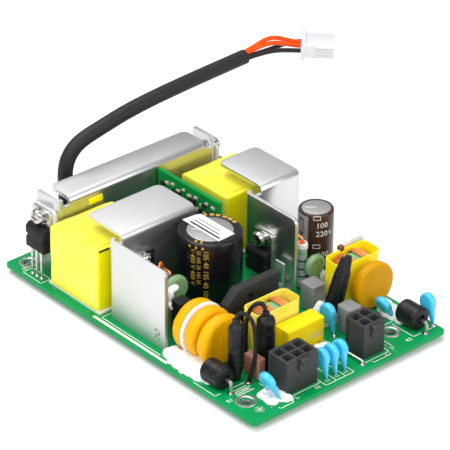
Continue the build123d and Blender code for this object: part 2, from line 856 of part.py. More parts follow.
def fuse_feet():
    """Where each fuse's return lead enters the board: in front of and behind the pink capacitor."""
    return [(fuse_left_x + 1.9, fuse_left_y - 4.4), (fuse_right_x - 4.0, fuse_right_y + 5.0)]


def sloped_sleeve():
    """Two shrunk tubes side by side that lean together, pinched at the top."""
    foot = Vector(*leaning_foot)
    head = Vector(*leaning_head)
    axis = (head - foot).normalized()
    length = (head - foot).length
    section = oval(leaning_w / 2, leaning_d / 2)
    tip = oval(leaning_tip_w / 2, leaning_tip_d / 2)
    planes = [Plane(origin=foot + axis * (length * share), x_dir=(1, 0, 0), z_dir=axis)
              for share in (-0.1, 0.84, 1)]
    body = loft([planes[0] * section, planes[1] * section, planes[2] * tip], ruled=True)
    under = 10.0
    return body - block(foot.X - under, foot.Y - under, board_t - under, 2 * under, 2 * under, under)


def choke_middle(x, y, top):
    """The middle of a choke's ring core."""
    return (x + choke_w / 2, y + choke_d / 2, top - choke_inset - turn_t - core_r)


def choke_sleeve(x, y, top):
    """The taped sleeve round a choke, open at the top."""
    z = board_t + choke_base_h
    inner = choke_corner - choke_wall
    outside = rounded_bar(x, y, z, choke_w, choke_d, top - z, choke_corner)
    inside = rounded_bar(x + choke_wall, y + choke_wall, z - 1, choke_w - 2 * choke_wall,
                         choke_d - 2 * choke_wall, top - z + 2, inner)
    return outside - inside


def choke_base(x, y, top):
    """The base plate, with a saddle that holds the ring on edge."""
    base = rounded_bar(x, y, board_t, choke_w, choke_d, choke_base_h, choke_corner)
    cx, cy, cz = choke_middle(x, y, top)
    saddle_z = board_t + choke_base_h
    saddle = block(cx - core_straight / 2 + 0.6, cy - core_d / 2, saddle_z, core_straight - 1.2, core_d,
                   cz - core_r - saddle_z)
    return base + saddle


def oblong(half_width, radius, depth):
    """A slot-shaped bar that runs along Y through the origin."""
    outline = SlotOverall(2 * half_width, 2 * radius)
    return Pos(0, depth / 2, 0) * extrude(Plane.XZ * outline, depth)


def choke_core(x, y, top):
    """The coated ring core: an oblong on edge, with an oblong bore."""
    ring = oblong(core_half_w, core_r, core_d)
    ring -= oblong(core_half_w - core_wall, core_r - core_wall, 2 * core_d)
    return Pos(*choke_middle(x, y, top)) * ring


def choke_windings(x, y, top):
    """Two windings, one round each end of the core: flat turns that fan out from the bore."""
    middle = Pos(*choke_middle(x, y, top))
    depth = core_d + 2 * turn_t
    inner = core_r - core_wall
    bar = Pos(inner - turn_t, 0, 0) * Box(core_wall + 2 * turn_t, depth, turn_w,
                                          align=(Align.MIN, Align.CENTER, Align.CENTER))
    core = oblong(core_half_w, core_r, core_d) - oblong(core_half_w - core_wall, inner, 2 * core_d)
    windings = []
    for side in (0, 180):
        end = Rot(Y=side) * Pos(core_straight / 2, 0, 0)
        coil = None
        for index in range(turn_count):
            tilt = (index - (turn_count - 1) / 2) * turn_step
            turn = end * Rot(Y=tilt) * bar
            coil = turn if coil is None else coil + turn
        windings.append(middle * (coil - core))
    return windings


def box_part(place):
    """A moulded box part that stands just clear of the board on its own small feet."""
    x, y, w, l, top = place
    foot = board_t + box_stand
    body = block(x, y, foot, w, l, top - foot)
    body = chamfer(body.edges().filter_by(Axis.Z), box_round)
    body = chamfer(body.faces().sort_by(Axis.Z)[-1].edges(), box_round / 2)
    for fx in (x + 0.6, x + w - 1.4):
        for fy in (y + 0.6, y + l - 1.4):
            body += block(fx, fy, board_t, 0.8, 0.8, box_stand + 0.2)
    return body


def blue_capacitor(x, front_y, head_z, lean=0.0, roll=0.0):
    """A blue disc in the YZ plane, with a coated leg down to each of its two pads."""
    middle_y = front_y + blue_leg_gap / 2
    disc = Pos(-blue_t / 2, 0, 0) * Rot(Y=90) * rimmed(blue_r, blue_t, blue_round, sleeve_sides)
    body = Pos(x, middle_y, head_z) * disc
    for side in (-1, 1):
        foot = Vector(x, middle_y + side * blue_leg_gap / 2, board_t)
        start = Vector(x, middle_y + side * blue_r * 0.45, head_z - blue_r * 0.35)
        body += tapered_leg(foot, start, blue_foot_r, blue_leg_r)
    pivot = Pos(x, middle_y, board_t)
    body = pivot * Rot(X=-lean, Y=-roll) * pivot.inverse() * body
    return body - block(x - 9, front_y - 9, board_t - 5, 18, 30, 5)


def blue_row():
    return [blue_capacitor(blue_row_x + index * blue_row_pitch, blue_row_y, blue_head_z) for index in range(3)]


def green_capacitor(place):
    """A green coated disc facing -Y, with two legs."""
    x, y, z, radius = place
    body = Pos(x, y, z) * Rot(X=-90) * rimmed(radius, green_t, green_round, washer_sides)
    for side in (-1, 1):
        body += thin_post(x + side * radius * 0.5, y + green_t / 2, board_t, 0.5, z - board_t - radius * 0.5)
    return body


def banded_resistor(place):
    """A resistor on end: a body with swollen ends, and its top lead bent back down beside it."""
    x, y, radius, top = place
    foot = board_t + resistor_stand
    rings = [(radius * 0.7, foot), (radius, foot + 0.8), (radius, foot + 2.4),
             (radius - resistor_waist, foot + 3.2), (radius - resistor_waist, top - 3.4), (radius, top - 2.6),
             (radius, top - 1.0), (radius * 0.6, top)]
    return Pos(x, y, 0) * turned(rings, sleeve_sides)


def resistor_wires(place, side):
    """The two wires of a standing resistor: a short one below, and one over its top."""
    x, y, radius, top = place
    reach = (radius + 1.1) * side
    rise = top + resistor_loop
    over = bent_rod([(x, y, top), (x, y, rise), (x, y + reach, rise), (x, y + reach, board_t)],
                    resistor_wire_r, 0.5)
    return [over, thin_post(x, y, board_t, resistor_wire_r, resistor_stand)]


def jumper_wire():
    """A tinned wire along Y, its two ends bent down into the board."""
    z = board_t + jumper_r + 0.15
    points = [(jumper_x, jumper_front, board_t), (jumper_x, jumper_front, z + 0.6),
              (jumper_x, jumper_back, z + 0.6), (jumper_x, jumper_back, board_t)]
    return bent_rod(points, jumper_r, 0.3)


def silicone_patch(x, y, w, l, height, turn, cut_by):
    """A low patch of white silicone on the board, drawn against the parts that stand in it."""
    loops = []
    for share, rise in ((1.0, 0.0), (0.86, 0.6), (0.5, 1.0)):
        corners = [Vector(px, py, height * rise) for px, py in oval_points(share * w / 2, share * l / 2)]
        loops.append([Vector(x, y, board_t) + corner.rotate(Axis.Z, turn) for corner in corners])
    patch = faceted(loops)
    for solid in cut_by:
        patch -= solid
    return patch.solids().sort_by(SortBy.VOLUME)[-1]


def oval_points(half_w, half_l):
    """Corners of a many-sided oval."""
    step = 2 * math.pi / oval_sides
    return [(half_w * math.cos(index * step), half_l * math.sin(index * step)) for index in range(oval_sides)]


def oval(half_w, half_l):
    """A many-sided oval face."""
    return make_face(Polyline(*oval_points(half_w, half_l), close=True))


def cable_route():
    """The sleeve's centre line: straight runs joined by arcs as large as two runs allow."""
    points = [Vector(x, cable_y, z) for x, z in cable_points]
    radii = soft_radii(points, cable_most_radius)
    print("cable radii", [round(radius, 1) for radius in radii])
    return FilletPolyline(*points, radius=radii)


def cable_sleeve():
    path = cable_route()
    tube = sweep(Plane(origin=path @ 0, z_dir=path % 0) * Circle(cable_r), path)
    print("cable length", round(path.length, 2), "volume ratio",
          round(tube.volume / (math.pi * cable_r ** 2 * path.length), 4))
    return tube


def plug_frame():
    """The plug's own axes: X along its length from the wire end, Z up."""
    return Pos(plug_x, cable_y, plug_z) * Rot(Z=plug_turn)


def signal_plug():
    """The white plug: a wider flange at the wire end, ribs along its near side and four sockets."""
    body = block(0, -plug_w / 2, -plug_h / 2, plug_l, plug_w, plug_h)
    flange = block(0, -plug_w / 2 - plug_flange_step, -plug_h / 2 - plug_flange_step, plug_flange_l,
                   plug_w + 2 * plug_flange_step, plug_h + 2 * plug_flange_step)
    body += flange
    for index in range(4):
        z = -plug_h / 2 + (index + 0.5) * plug_h / 4 - plug_rib_t / 2
        body += block(plug_l * 0.45, -plug_w / 2 - 0.5, z, plug_l * 0.55, 1, plug_rib_t)
    pitch = plug_w / 4
    for index in range(4):
        y = -plug_w / 2 + (index + 0.5) * pitch
        body -= block(plug_l - 6, y - 0.7, -0.7, 8, 1.4, 1.4)
    return plug_frame() * body


def plug_wires(rows):
    """Loose wires from the sleeve's end to the plug: each bows by its own amount."""
    last, before = [Vector(x, cable_y, z) for x, z in (cable_points[-1], cable_points[-2])]
    mouth = Plane(origin=last, x_dir=(0, 1, 0), z_dir=last - before)
    wires = []
    for offset_y, offset_z, bow, end_y in rows:
        start = mouth.from_local_coords(Vector(offset_y, offset_z, 0))
        leave = mouth.from_local_coords(Vector(offset_y, offset_z, wire_lead_in))
        end = (plug_frame() * Pos(0, end_y, offset_z * 0.4)).position
        enter = (plug_frame() * Pos(-wire_lead_in, end_y, offset_z * 0.4)).position
        middle = (leave + enter) * 0.5 + Vector(0, offset_y * 0.6, bow + 1.0)
        points = [start, leave, middle, enter, end]
        wires.append(rod(points, wire_r, soft_radii(points, wire_most_radius)))
    return wires


def solder_joints():
    """The trimmed lead ends and solder cones under the board, one for each lead."""
    places = [(cx, cy) for x, y, columns in header_places() for cx, cy, _ in header_cells(x, y, columns)]
    places += bridge_pin_places() + disc_leg_places()
    places += [(x, y - arrester_lead_out) for x, y in arrester_places()]
    for x, y, w, l in ((left_transformer_x, left_transformer_y, left_transformer_w, left_transformer_l),
                       (right_transformer_x, right_transformer_y, right_transformer_w, right_transformer_l)):
        for side in (x + 2.5, x + w - 2.5):
            places += [(side, y + 3.5 + index * (l - 7.0) / 3) for index in range(4)]
    places += [(main_cap_x + dx, main_cap_y) for dx in (-5, 5)]
    places += [(small_cap_x + dx, small_cap_y) for dx in (-2.5, 2.5)]
    places += [(bracket_left_x + 4, bracket_wall_y + 0.8), (bracket_right_x - 4, bracket_wall_y + 0.8)]
    joint = turned([(joint_tip_r, -tail_drop), (joint_r, 0)], joint_sides)
    return [Pos(x, y, 0) * joint for x, y in places]


def heatsink_lug():
    """The tinned lug that stands in front of the right heatsink's wing, with a window in it."""
    x = right_sink_x - lug_gap - lug_t
    tab = block(x, lug_y, board_t, lug_t, lug_w, lug_h)
    tab += block(x, lug_y, board_t, lug_gap + lug_t, lug_w, lug_t)
    window = block(x - 1, lug_y + lug_w / 4, board_t + lug_h * 0.3, lug_t + 2, lug_w / 2, lug_h * 0.45)
    return tab - window


def upright_card():
    """The cream card behind the rear choke: a step at each end of its foot lets solder through."""
    card = block(card_x, card_y, board_t, card_w, card_t, card_top - board_t)
    foot_step = 1.2
    for x in (card_x - 1, card_x + card_w - foot_step):
        card -= block(x, card_y - 1, board_t - 1, 1 + foot_step, card_t + 2, 1 + foot_step)
    return chamfer(card.faces().sort_by(Axis.Z)[-1].edges().filter_by(Axis.X), 0.2)


def transformers():
    """Both transformers' places: x, y, width and length."""
    return {
        "left": (left_transformer_x, left_transformer_y, left_transformer_w, left_transformer_l),
        "right": (right_transformer_x, right_transformer_y, right_transformer_w, right_transformer_l),
    }


def chokes():
    """Both chokes' places: x, y and the top of the sleeve."""
    return [(front_choke_x, front_choke_y, front_choke_top), (rear_choke_x, rear_choke_y, rear_choke_top)]


def silicone_patches(standing):
    """White silicone run round the feet of the taller parts."""
    patches = []
    for x, y, w, l, height, turn in silicone_places:
        patches.append(silicone_patch(x, y, w, l, height, turn, standing))
    return patches


def joined(groups):
    """One list from several lists."""
    return [solid for group in groups for solid in group]


def semiconductors():
    """The power transistors with their screws and plates, and the bridge rectifier."""
    screws, springs, flats, nuts = fastener_sets()
    seats = device_seats()
    return {
        "transistor_cases": [seated(name, transistor_case()) for name in seats],
        "transistor_leadframes": joined(
            [seated(name, piece) for piece in transistor_metal(seat[2])] for name, seat in seats.items()),
        "insulating_plates": [insulating_plate(name) for name in seats if name.startswith("rear")],
        "heatsink_screws": screws,
        "spring_washers": springs,
        "flat_washers": flats,
        "heatsink_nuts": nuts,
        "bridge_rectifier": bridge_body(),
        "bridge_rectifier_pins": bridge_pins(),
    }


def wound_parts():
    """The transformers and the chokes."""
    places = transformers()
    return {
        "left_transformer_wrap": transformer_wrap(*places["left"]),
        "right_transformer_wrap": transformer_wrap(*places["right"]),
        "transformer_bobbins": [bobbin(*place) for place in places.values()],
        "choke_sleeves": [choke_sleeve(*place) for place in chokes()],
        "choke_bases": [choke_base(*place) for place in chokes()],
        "choke_cores": [choke_core(*place) for place in chokes()],
        "choke_windings": joined(choke_windings(*place) for place in chokes()),
    }


def filter_parts():
    """The parts of the mains filter at the front edge."""
    feet = fuse_feet()
    return {
        "surge_discs": surge_discs(),
        "surge_disc_spacer": spacer_disc(),
        "inrush_disc": coated_disc(inrush_x, inrush_y, inrush_z, inrush_r, inrush_t, 1.0),
        "disc_legs": disc_legs(),
        "arrester_sleeves": [arrester_sleeve(x, y) for x, y in arrester_places()],
        "arrester_leads": [arrester_lead(x, y) for x, y in arrester_places()],
        "left_fuse_sleeve": fuse_sleeve(fuse_left_x, fuse_left_y, fuse_left_r, fuse_left_top),
        "right_fuse_sleeve": fuse_sleeve(fuse_right_x, fuse_right_y, fuse_right_r, fuse_right_top),
        "fuse_return_leads": [
            fuse_loop(fuse_left_x, fuse_left_y, fuse_left_top, feet[0]),
            fuse_loop(fuse_right_x, fuse_right_y, fuse_right_top, feet[1])],
        "leaning_sleeved_fuse": sloped_sleeve(),
        "film_capacitor": box_part(film_box),
        "rear_grey_film_capacitor": box_part(grey_box_rear),
        "front_grey_film_capacitor": box_part(grey_box_front),
        "pink_film_capacitor": box_part(pink_box),
        "dark_film_capacitor": box_part(dark_box),
        "blue_capacitor_row": blue_row(),
        "blue_capacitors": [blue_capacitor(*place) for place in blue_places],
        "green_capacitors": [green_capacitor(green_leaf), green_capacitor(green_dome)],
    }


def assembly():
    """Every node of the power supply, by name."""
    nodes = {
        "circuit_board": circuit_board(),
        "mounting_rings": [mounting_ring(x, y) for x, y in mounting_holes()],
        "six_way_header": header_housing(header_six_x, header_six_y, 3),
        "four_way_header": header_housing(header_four_x, header_four_y, 2),
        "header_pins": header_pins(),
        "rear_bracket": rear_bracket(),
        "left_heatsink": left_heatsink(),
        "right_heatsink": right_heatsink(),
        "main_capacitor": capacitor_can(main_cap_x, main_cap_y, main_cap_r, main_cap_top, main_disc_r),
        "small_capacitor": capacitor_can(small_cap_x, small_cap_y, small_cap_r, small_cap_top, small_disc_r),
        "capacitor_discs": [capacitor_disc(main_cap_x, main_cap_y, main_cap_top, main_disc_r),
                            capacitor_disc(small_cap_x, small_cap_y, small_cap_top, small_disc_r)],
        "daughter_board": daughter_board(),
        "daughter_board_chips": daughter_chips(),
        "banded_resistors": [banded_resistor(banded_front), banded_resistor(banded_rear)],
        "resistor_wires": resistor_wires(banded_front, 1) + resistor_wires(banded_rear, -1),
        "jumper_wire": jumper_wire(),
        "heatsink_lug": heatsink_lug(),
        "upright_card": upright_card(),
        "solder_joints": solder_joints(),
        "cable_sleeve": cable_sleeve(),
        "signal_plug": signal_plug(),
        "orange_wires": plug_wires(orange_rows),
        "black_wires": plug_wires(black_rows),
    }
    nodes |= semiconductors() | wound_parts() | filter_parts()
    standing = []
    for name in silicone_round:
        shape = nodes[name]
        standing += shape if isinstance(shape, list) else [shape]
    nodes["silicone_patches"] = silicone_patches(standing)
    return nodes


def write(name, shape):
    """One STEP file for one node, in the frame of the finished part."""
    solids = shape if isinstance(shape, list) else [shape]
    moved = [Pos(-board_w / 2, -board_l / 2, tail_drop) * solid for solid in solids]
    part = moved[0] if len(moved) == 1 else Compound(children=moved)
    part.label = name
    export_step(part, f"parts/{name}.step")


if __name__ == "__main__":
    os.makedirs("parts", exist_ok=True)
    for node_name, node_shape in assembly().items():
        write(node_name, node_shape)
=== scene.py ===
"""Looks for an open-frame power supply: one board with its heatsinks, wound parts and short cable."""

import logging
import math
from collections.abc import Callable, Iterator
from contextlib import contextmanager
from dataclasses import dataclass, replace
from enum import Enum

import bpy
from mathutils import Euler, Matrix, Vector

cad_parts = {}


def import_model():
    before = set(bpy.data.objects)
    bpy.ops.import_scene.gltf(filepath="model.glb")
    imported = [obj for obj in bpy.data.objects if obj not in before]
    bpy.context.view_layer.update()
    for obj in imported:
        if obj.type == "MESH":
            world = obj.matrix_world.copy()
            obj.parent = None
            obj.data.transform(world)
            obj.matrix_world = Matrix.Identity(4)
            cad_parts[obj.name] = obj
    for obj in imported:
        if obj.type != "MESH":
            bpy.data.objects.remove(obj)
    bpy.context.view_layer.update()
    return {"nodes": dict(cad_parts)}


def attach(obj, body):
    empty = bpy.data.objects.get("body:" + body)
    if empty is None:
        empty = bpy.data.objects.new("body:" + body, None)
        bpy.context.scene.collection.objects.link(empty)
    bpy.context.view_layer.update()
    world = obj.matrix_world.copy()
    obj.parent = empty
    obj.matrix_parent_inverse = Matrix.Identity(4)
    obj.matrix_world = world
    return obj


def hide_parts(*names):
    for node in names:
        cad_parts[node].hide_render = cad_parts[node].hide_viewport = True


LOG = logging.getLogger("power_supply")
MM = 0.001
BOARD_MIDDLE = (43.7, 66.2, -2.0)
BOARD_TOP = 1.6
ROOT = "root"
UP, FRONT, LEFT = Vector((0.0, 0.0, 1.0)), Vector((0.0, -1.0, 0.0)), Vector((-1.0, 0.0, 0.0))
ON_EDGE = (math.pi / 2, 0.0, 0.0)
SIGN_SCALE = 1.35

Number2 = tuple[float, float]
Number3 = tuple[float, float, float]
Number4 = tuple[float, float, float, float]
Piece = bpy.types.Object
Tree = bpy.types.NodeTree
Socket = bpy.types.NodeSocket


def at(x: float, y: float, z: float = 0.0) -> Vector:
    """A place measured in millimetres from the board's front left corner.

    Args:
        x: along the short front edge.
        y: along the long left edge.
        z: up from the board's underside.

    Returns:
        The place in metres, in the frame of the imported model.
    """
    return Vector((x - BOARD_MIDDLE[0], y - BOARD_MIDDLE[1], z - BOARD_MIDDLE[2])) * MM


def deselect() -> None:
    """Leaves nothing selected, so an operator acts only on what is added next."""
    bpy.ops.object.select_all(action="DESELECT")


def pick(piece: Piece) -> None:
    """Selects one object alone and makes it the active one.

    Args:
        piece: the object.
    """
    deselect()
    piece.select_set(True)
    bpy.context.view_layer.objects.active = piece


@contextmanager
def edit(piece: Piece) -> Iterator[None]:
    """Edit mode on one piece, with all of it selected.

    Args:
        piece: the piece.

    Returns:
        A context that ends in object mode.
    """
    pick(piece)
    bpy.ops.object.mode_set(mode="EDIT")
    bpy.ops.mesh.select_all(action="SELECT")
    yield
    bpy.ops.object.mode_set(mode="OBJECT")


def linked(name: str, data: bpy.types.ID) -> Piece:
    """A new object in the scene.

    Args:
        name: its name.
        data: its mesh, curve, camera or light.

    Returns:
        The object.
    """
    piece = bpy.data.objects.new(name, data)
    bpy.context.scene.collection.objects.link(piece)
    return piece


def settle(piece: Piece) -> Piece:
    """Moves a piece's place into its mesh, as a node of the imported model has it.

    Args:
        piece: the piece.

    Returns:
        The same piece.
    """
    pick(piece)
    bpy.ops.object.transform_apply(location=True, rotation=True, scale=True)
    return piece


def added(name: str, scale: Number3 = (1.0, 1.0, 1.0)) -> Piece:
    """The primitive that an operator has just added, settled.

    Args:
        name: its name.
        scale: its scale along each axis.

    Returns:
        The piece.
    """
    piece = bpy.context.object
    piece.name, piece.scale = name, scale
    return settle(piece)


def apply_all(piece: Piece) -> Piece:
    """Applies each modifier of a piece in its order.

    Args:
        piece: the piece.

    Returns:
        The same piece.
    """
    pick(piece)
    for modifier in list(piece.modifiers):
        bpy.ops.object.modifier_apply(modifier=modifier.name)
    return piece


def smooth(piece: Piece, degrees: float = 40.0) -> Piece:
    """Shades a piece smooth, with creases where its faces turn by more than an angle.

    Args:
        piece: the piece.
        degrees: the angle.

    Returns:
        The same piece.
    """
    pick(piece)
    bpy.ops.object.shade_smooth_by_angle(angle=math.radians(degrees))
    return piece


def join(name: str, pieces: list[Piece]) -> Piece:
    """Joins several settled pieces into one mesh.

    Args:
        name: the name of the joined piece.
        pieces: the pieces.

    Returns:
        The joined piece.
    """
    pick(pieces[0])
    for piece in pieces:
        piece.select_set(True)
    if len(pieces) > 1:
        bpy.ops.object.join()
    pieces[0].name = pieces[0].data.name = name
    return pieces[0]


def bevelled(piece: Piece, width: float, segments: int = 2, angle: float = 30.0,
             crease: float = 40.0) -> Piece:
    """Rounds a piece's edges.

    Args:
        piece: the piece.
        width: the width of the rounding, in millimetres.
        segments: how many faces make the rounding.
        angle: the least turn that counts as an edge, in degrees.
        crease: the least turn that stays sharp in the shading, in degrees.

    Returns:
        The same piece.
    """
    bevel = piece.modifiers.new("edge", "BEVEL")
    bevel.width, bevel.segments = width * MM, segments
    bevel.limit_method, bevel.angle_limit = "ANGLE", math.radians(angle)
    return smooth(apply_all(piece), crease)


@dataclass(frozen=True)
class Ripple:
    """A soft unevenness: its height and size in millimetres, its level and its detail."""

    height: float
    size: float
    level: float = 0.5
    detail: int = 2

    def put_on(self, piece: Piece) -> None:
        """Adds the unevenness to a piece's modifiers.

        Args:
            piece: the piece.
        """
        texture = bpy.data.textures.new(piece.name + "_ripple", "CLOUDS")
        texture.noise_scale, texture.noise_depth = self.size * MM, self.detail
        uneven = piece.modifiers.new("uneven", "DISPLACE")
        uneven.texture, uneven.texture_coords = texture, "GLOBAL"
        uneven.strength, uneven.mid_level = self.height * MM, self.level


def skinned(piece: Piece, voxel: float, rounds: int, ripple: Ripple | None = None) -> Piece:
    """Runs a piece's forms together, as a dipped or shrunk coat has them.

    Args:
        piece: the piece.
        voxel: the size of the new mesh's faces, in millimetres.
        rounds: how often the surface is smoothed.
        ripple: its unevenness, if it has any.

    Returns:
        The same piece.
    """
    skin = piece.modifiers.new("skin", "REMESH")
    skin.mode, skin.voxel_size = "VOXEL", voxel * MM
    piece.modifiers.new("soft", "SMOOTH").iterations = rounds
    if ripple:
        ripple.put_on(piece)
    return smooth(apply_all(piece), 180.0)


def add(tree: Tree, kind: str, inputs: dict[str | int, object],
        mode: str | Tree = "") -> bpy.types.bpy_prop_collection:
    """Adds a shader node to a tree.

    Args:
        tree: the tree.
        kind: the node's type, without "ShaderNode".
        inputs: what each input gets: a value, or the output of another node.
        mode: its operation, the data type of a Mix node, or the tree of a Group node.

    Returns:
        The node's outputs.
    """
    made = tree.nodes.new("ShaderNode" + kind)
    if isinstance(mode, Tree):
        made.node_tree = mode
    elif mode and kind == "Mix":
        made.data_type = mode
    elif mode:
        made.operation = mode
    for label, value in inputs.items():
        if isinstance(value, Socket):
            tree.links.new(value, made.inputs[label])
        else:
            made.inputs[label].default_value = value
    return made.outputs


def mixed(tree: Tree, share: Socket, first: Socket, second: Socket | Number4) -> Socket:
    """A colour between two others, by a share that changes over the surface."""
    return add(tree, "Mix", {"Factor": share, "A": first, "B": second}, "RGBA")["Result"]


def facing(tree: Tree, axis: str, low: float, high: float) -> Socket:
    """How far a face looks along an axis.

    Args:
        tree: the tree.
        axis: X, Y or Z.
        low: the part of the normal along the axis where the share is 0.
        high: the part where it is 1.

    Returns:
        The share.
    """
    part = add(tree, "SeparateXYZ", {"Vector": add(tree, "NewGeometry", {})["Normal"]})[axis]
    return add(tree, "MapRange", {"Value": part, "From Min": low, "From Max": high})["Result"]


class Shared:
    """Shader node groups that several finishes share. Each is built once."""

    @staticmethod
    def use(tree: Tree, effect: Callable[[Tree], dict[str, Socket]],
            inputs: dict) -> bpy.types.bpy_prop_collection:
        """Places a shared effect in a material.

        Args:
            tree: the material's tree.
            effect: the method that fills the effect's group.
            inputs: what each input gets: a value, or the output of another node.

        Returns:
            The effect's outputs.
        """
        name = effect.__name__
        if name not in bpy.data.node_groups:
            group = bpy.data.node_groups.new(name, "ShaderNodeTree")
            results = effect(group)
            for label in results:
                kind = "NodeSocketColor" if label == "Colour" else "NodeSocketFloat"
                group.interface.new_socket(label, in_out="OUTPUT", socket_type=kind)
            outside = group.nodes.new("NodeGroupOutput")
            for label, socket in results.items():
                group.links.new(socket, outside.inputs[label])
        return add(tree, "Group", inputs, bpy.data.node_groups[name])

    @staticmethod
    def given(group: Tree, **sockets: str) -> bpy.types.bpy_prop_collection:
        """The inputs of a group.

        Args:
            group: the group.
            sockets: the type of each input.

        Returns:
            The sockets inside the group.
        """
        for label, kind in sockets.items():
            group.interface.new_socket(label, in_out="INPUT", socket_type="NodeSocket" + kind)
        return group.nodes.new("NodeGroupInput").outputs

    @classmethod
    def tone_drift(cls, group: Tree) -> dict[str, Socket]:
        """Slow changes of tone over a surface: a colour that drifts between two others.

        Args:
            group: the empty group.

        Returns:
            What the group puts out.
        """
        given = cls.given(group, Colour="Color", Second="Color", Scale="Float", Amount="Float")
        place = add(group, "TexCoord", {})["Object"]
        noise = add(group, "TexNoise", {"Vector": place, "Scale": given["Scale"], "Detail": 5.0,
                                        "Roughness": 0.6})
        ramp = add(group, "MapRange", {"Value": noise["Fac"], "From Min": 0.36, "From Max": 0.66})["Result"]
        share = add(group, "Math", {0: ramp, 1: given["Amount"]}, "MULTIPLY")["Value"]
        return {"Colour": mixed(group, share, given["Colour"], given["Second"])}

    @classmethod
    def stretched_grain(cls, group: Tree) -> dict[str, Socket]:
        """Grain stretched along each axis by its own amount, as a height and a roughness change.

        Args:
            group: the empty group.

        Returns:
            What the group puts out.
        """
        given = cls.given(group, Stretch="Vector", Scale="Float", Roughness="Float", Change="Float")
        place = add(group, "TexCoord", {})["Object"]
        stretch = add(group, "VectorMath", {0: place, 1: given["Stretch"]}, "MULTIPLY")["Vector"]
        noise = add(group, "TexNoise", {"Vector": stretch, "Scale": given["Scale"], "Detail": 3.0})["Fac"]
        centred = add(group, "Math", {0: noise, 1: 0.5}, "SUBTRACT")["Value"]
        spread = add(group, "Math", {0: centred, 1: given["Change"], 2: given["Roughness"]}, "MULTIPLY_ADD")
        return {"Height": noise, "Roughness": spread["Value"]}

    @classmethod
    def settled_dust(cls, group: Tree) -> dict[str, Socket]:
        """Fine pale dust that lies on faces that look up, in patches.

        Args:
            group: the empty group.

        Returns:
            What the group puts out.
        """
        given = cls.given(group, Colour="Color", Dust="Color", Amount="Float")
        place = add(group, "TexCoord", {})["Object"]
        noise = add(group, "TexNoise", {"Vector": place, "Scale": 900.0, "Detail": 6.0})["Fac"]
        patch = add(group, "Math", {0: facing(group, "Z", 0.3, 1.0), 1: noise}, "MULTIPLY")["Value"]
        share = add(group, "Math", {0: patch, 1: given["Amount"]}, "MULTIPLY")["Value"]
        return {"Colour": mixed(group, share, given["Colour"], given["Dust"])}


@dataclass(frozen=True)
class Finish:
    """One surface finish: its colours, gloss and fine relief, and for some finishes a painted shading of the
    faces that look to the front.
    """

    name: str
    colour: Number3
    second: Number3
    roughness: float
    tone_scale: float = 120.0
    metallic: float = 0.0
    coat: float = 0.0
    tone_amount: float = 0.5
    grain_scale: float = 2500.0
    grain_stretch: Number3 = (1.0, 1.0, 1.0)
    grain_change: float = 0.12
    relief: float = 0.15
    relief_depth: float = 0.00004
    dust: float = 0.05
    subsurface: float = 0.0
    specular: float = 0.5
    top_roughness: float = 0.0
    # painted shading: a colour for faces that look to the front (-Y), lighter or darker than the rest to
    # stand in for the light and reflections on them
    front: Number3 | None = None

    def material(self) -> bpy.types.Material:
        """The finish as a material, built once.

        Returns:
            The material.
        """
        label = "finish_" + self.name
        if label in bpy.data.materials:
            return bpy.data.materials[label]
        made = bpy.data.materials.new(label)
        made.use_nodes = True
        tree = made.node_tree
        inputs = tree.nodes["Principled BSDF"].inputs
        plain = {"Metallic": self.metallic, "Specular IOR Level": self.specular, "Coat Weight": self.coat,
                 "Coat Roughness": 0.08}
        if self.subsurface:
            plain |= {"Subsurface Weight": self.subsurface, "Subsurface Radius": (0.002, 0.001, 0.0006),
                      "Subsurface Scale": 0.4}
        for socket, value in plain.items():
            inputs[socket].default_value = value
        colour = self.paint(tree)
        # Painted shading: faces that look to the front take the front colour in place of their own, standing
        # in for light and reflections.
        if self.front:
            colour = mixed(tree, facing(tree, "Y", -0.6, -0.95), colour, (*self.front, 1.0))
        dust = Shared.use(tree, Shared.settled_dust,
                          {"Colour": colour, "Dust": (0.72, 0.7, 0.66, 1.0), "Amount": self.dust})
        grain = Shared.use(tree, Shared.stretched_grain,
                           {"Stretch": self.grain_stretch, "Scale": self.grain_scale,
                            "Roughness": self.roughness, "Change": self.grain_change})
        rough = grain["Roughness"]
        if self.top_roughness:
            rough = add(tree, "Mix", {"Factor": facing(tree, "Z", 0.6, 1.0), "A": rough,
                                      "B": self.top_roughness})["Result"]
        bump = add(tree, "Bump", {"Strength": self.relief, "Distance": self.relief_depth,
                                  "Height": grain["Height"]})
        for socket, result in (("Base Color", dust["Colour"]), ("Roughness", rough),
                               ("Normal", bump["Normal"])):
            tree.links.new(result, inputs[socket])
        return made

    def paint(self, tree: Tree) -> Socket:
        """The colour of the surface before dust.

        Args:
            tree: the material's node tree.

        Returns:
            The colour.
        """
        return Shared.use(tree, Shared.tone_drift,
                          {"Colour": (*self.colour, 1.0), "Second": (*self.second, 1.0),
                           "Scale": self.tone_scale, "Amount": self.tone_amount})["Colour"]


@dataclass(frozen=True)
class Banded(Finish):
    """A lacquered body with coloured bands, each from one height to another in board millimetres."""

    bands: tuple[tuple[float, float, Number3], ...] = ()

    def paint(self, tree: Tree) -> Socket:
        """Paints each band over the body's own colour.

        Args:
            tree: the material's node tree.

        Returns:
            The colour.
        """
        colour = super().paint(tree)
        height = add(tree, "SeparateXYZ", {"Vector": add(tree, "TexCoord", {})["Object"]})["Z"]
        for low, high, tint in self.bands:
            middle, half = at(0.0, 0.0, (low + high) / 2).z, (high - low) / 2 * MM
            inside = add(tree, "Math", {0: height, 1: middle, 2: half}, "COMPARE")["Value"]
            colour = mixed(tree, inside, colour, (*tint, 1.0))
        return colour


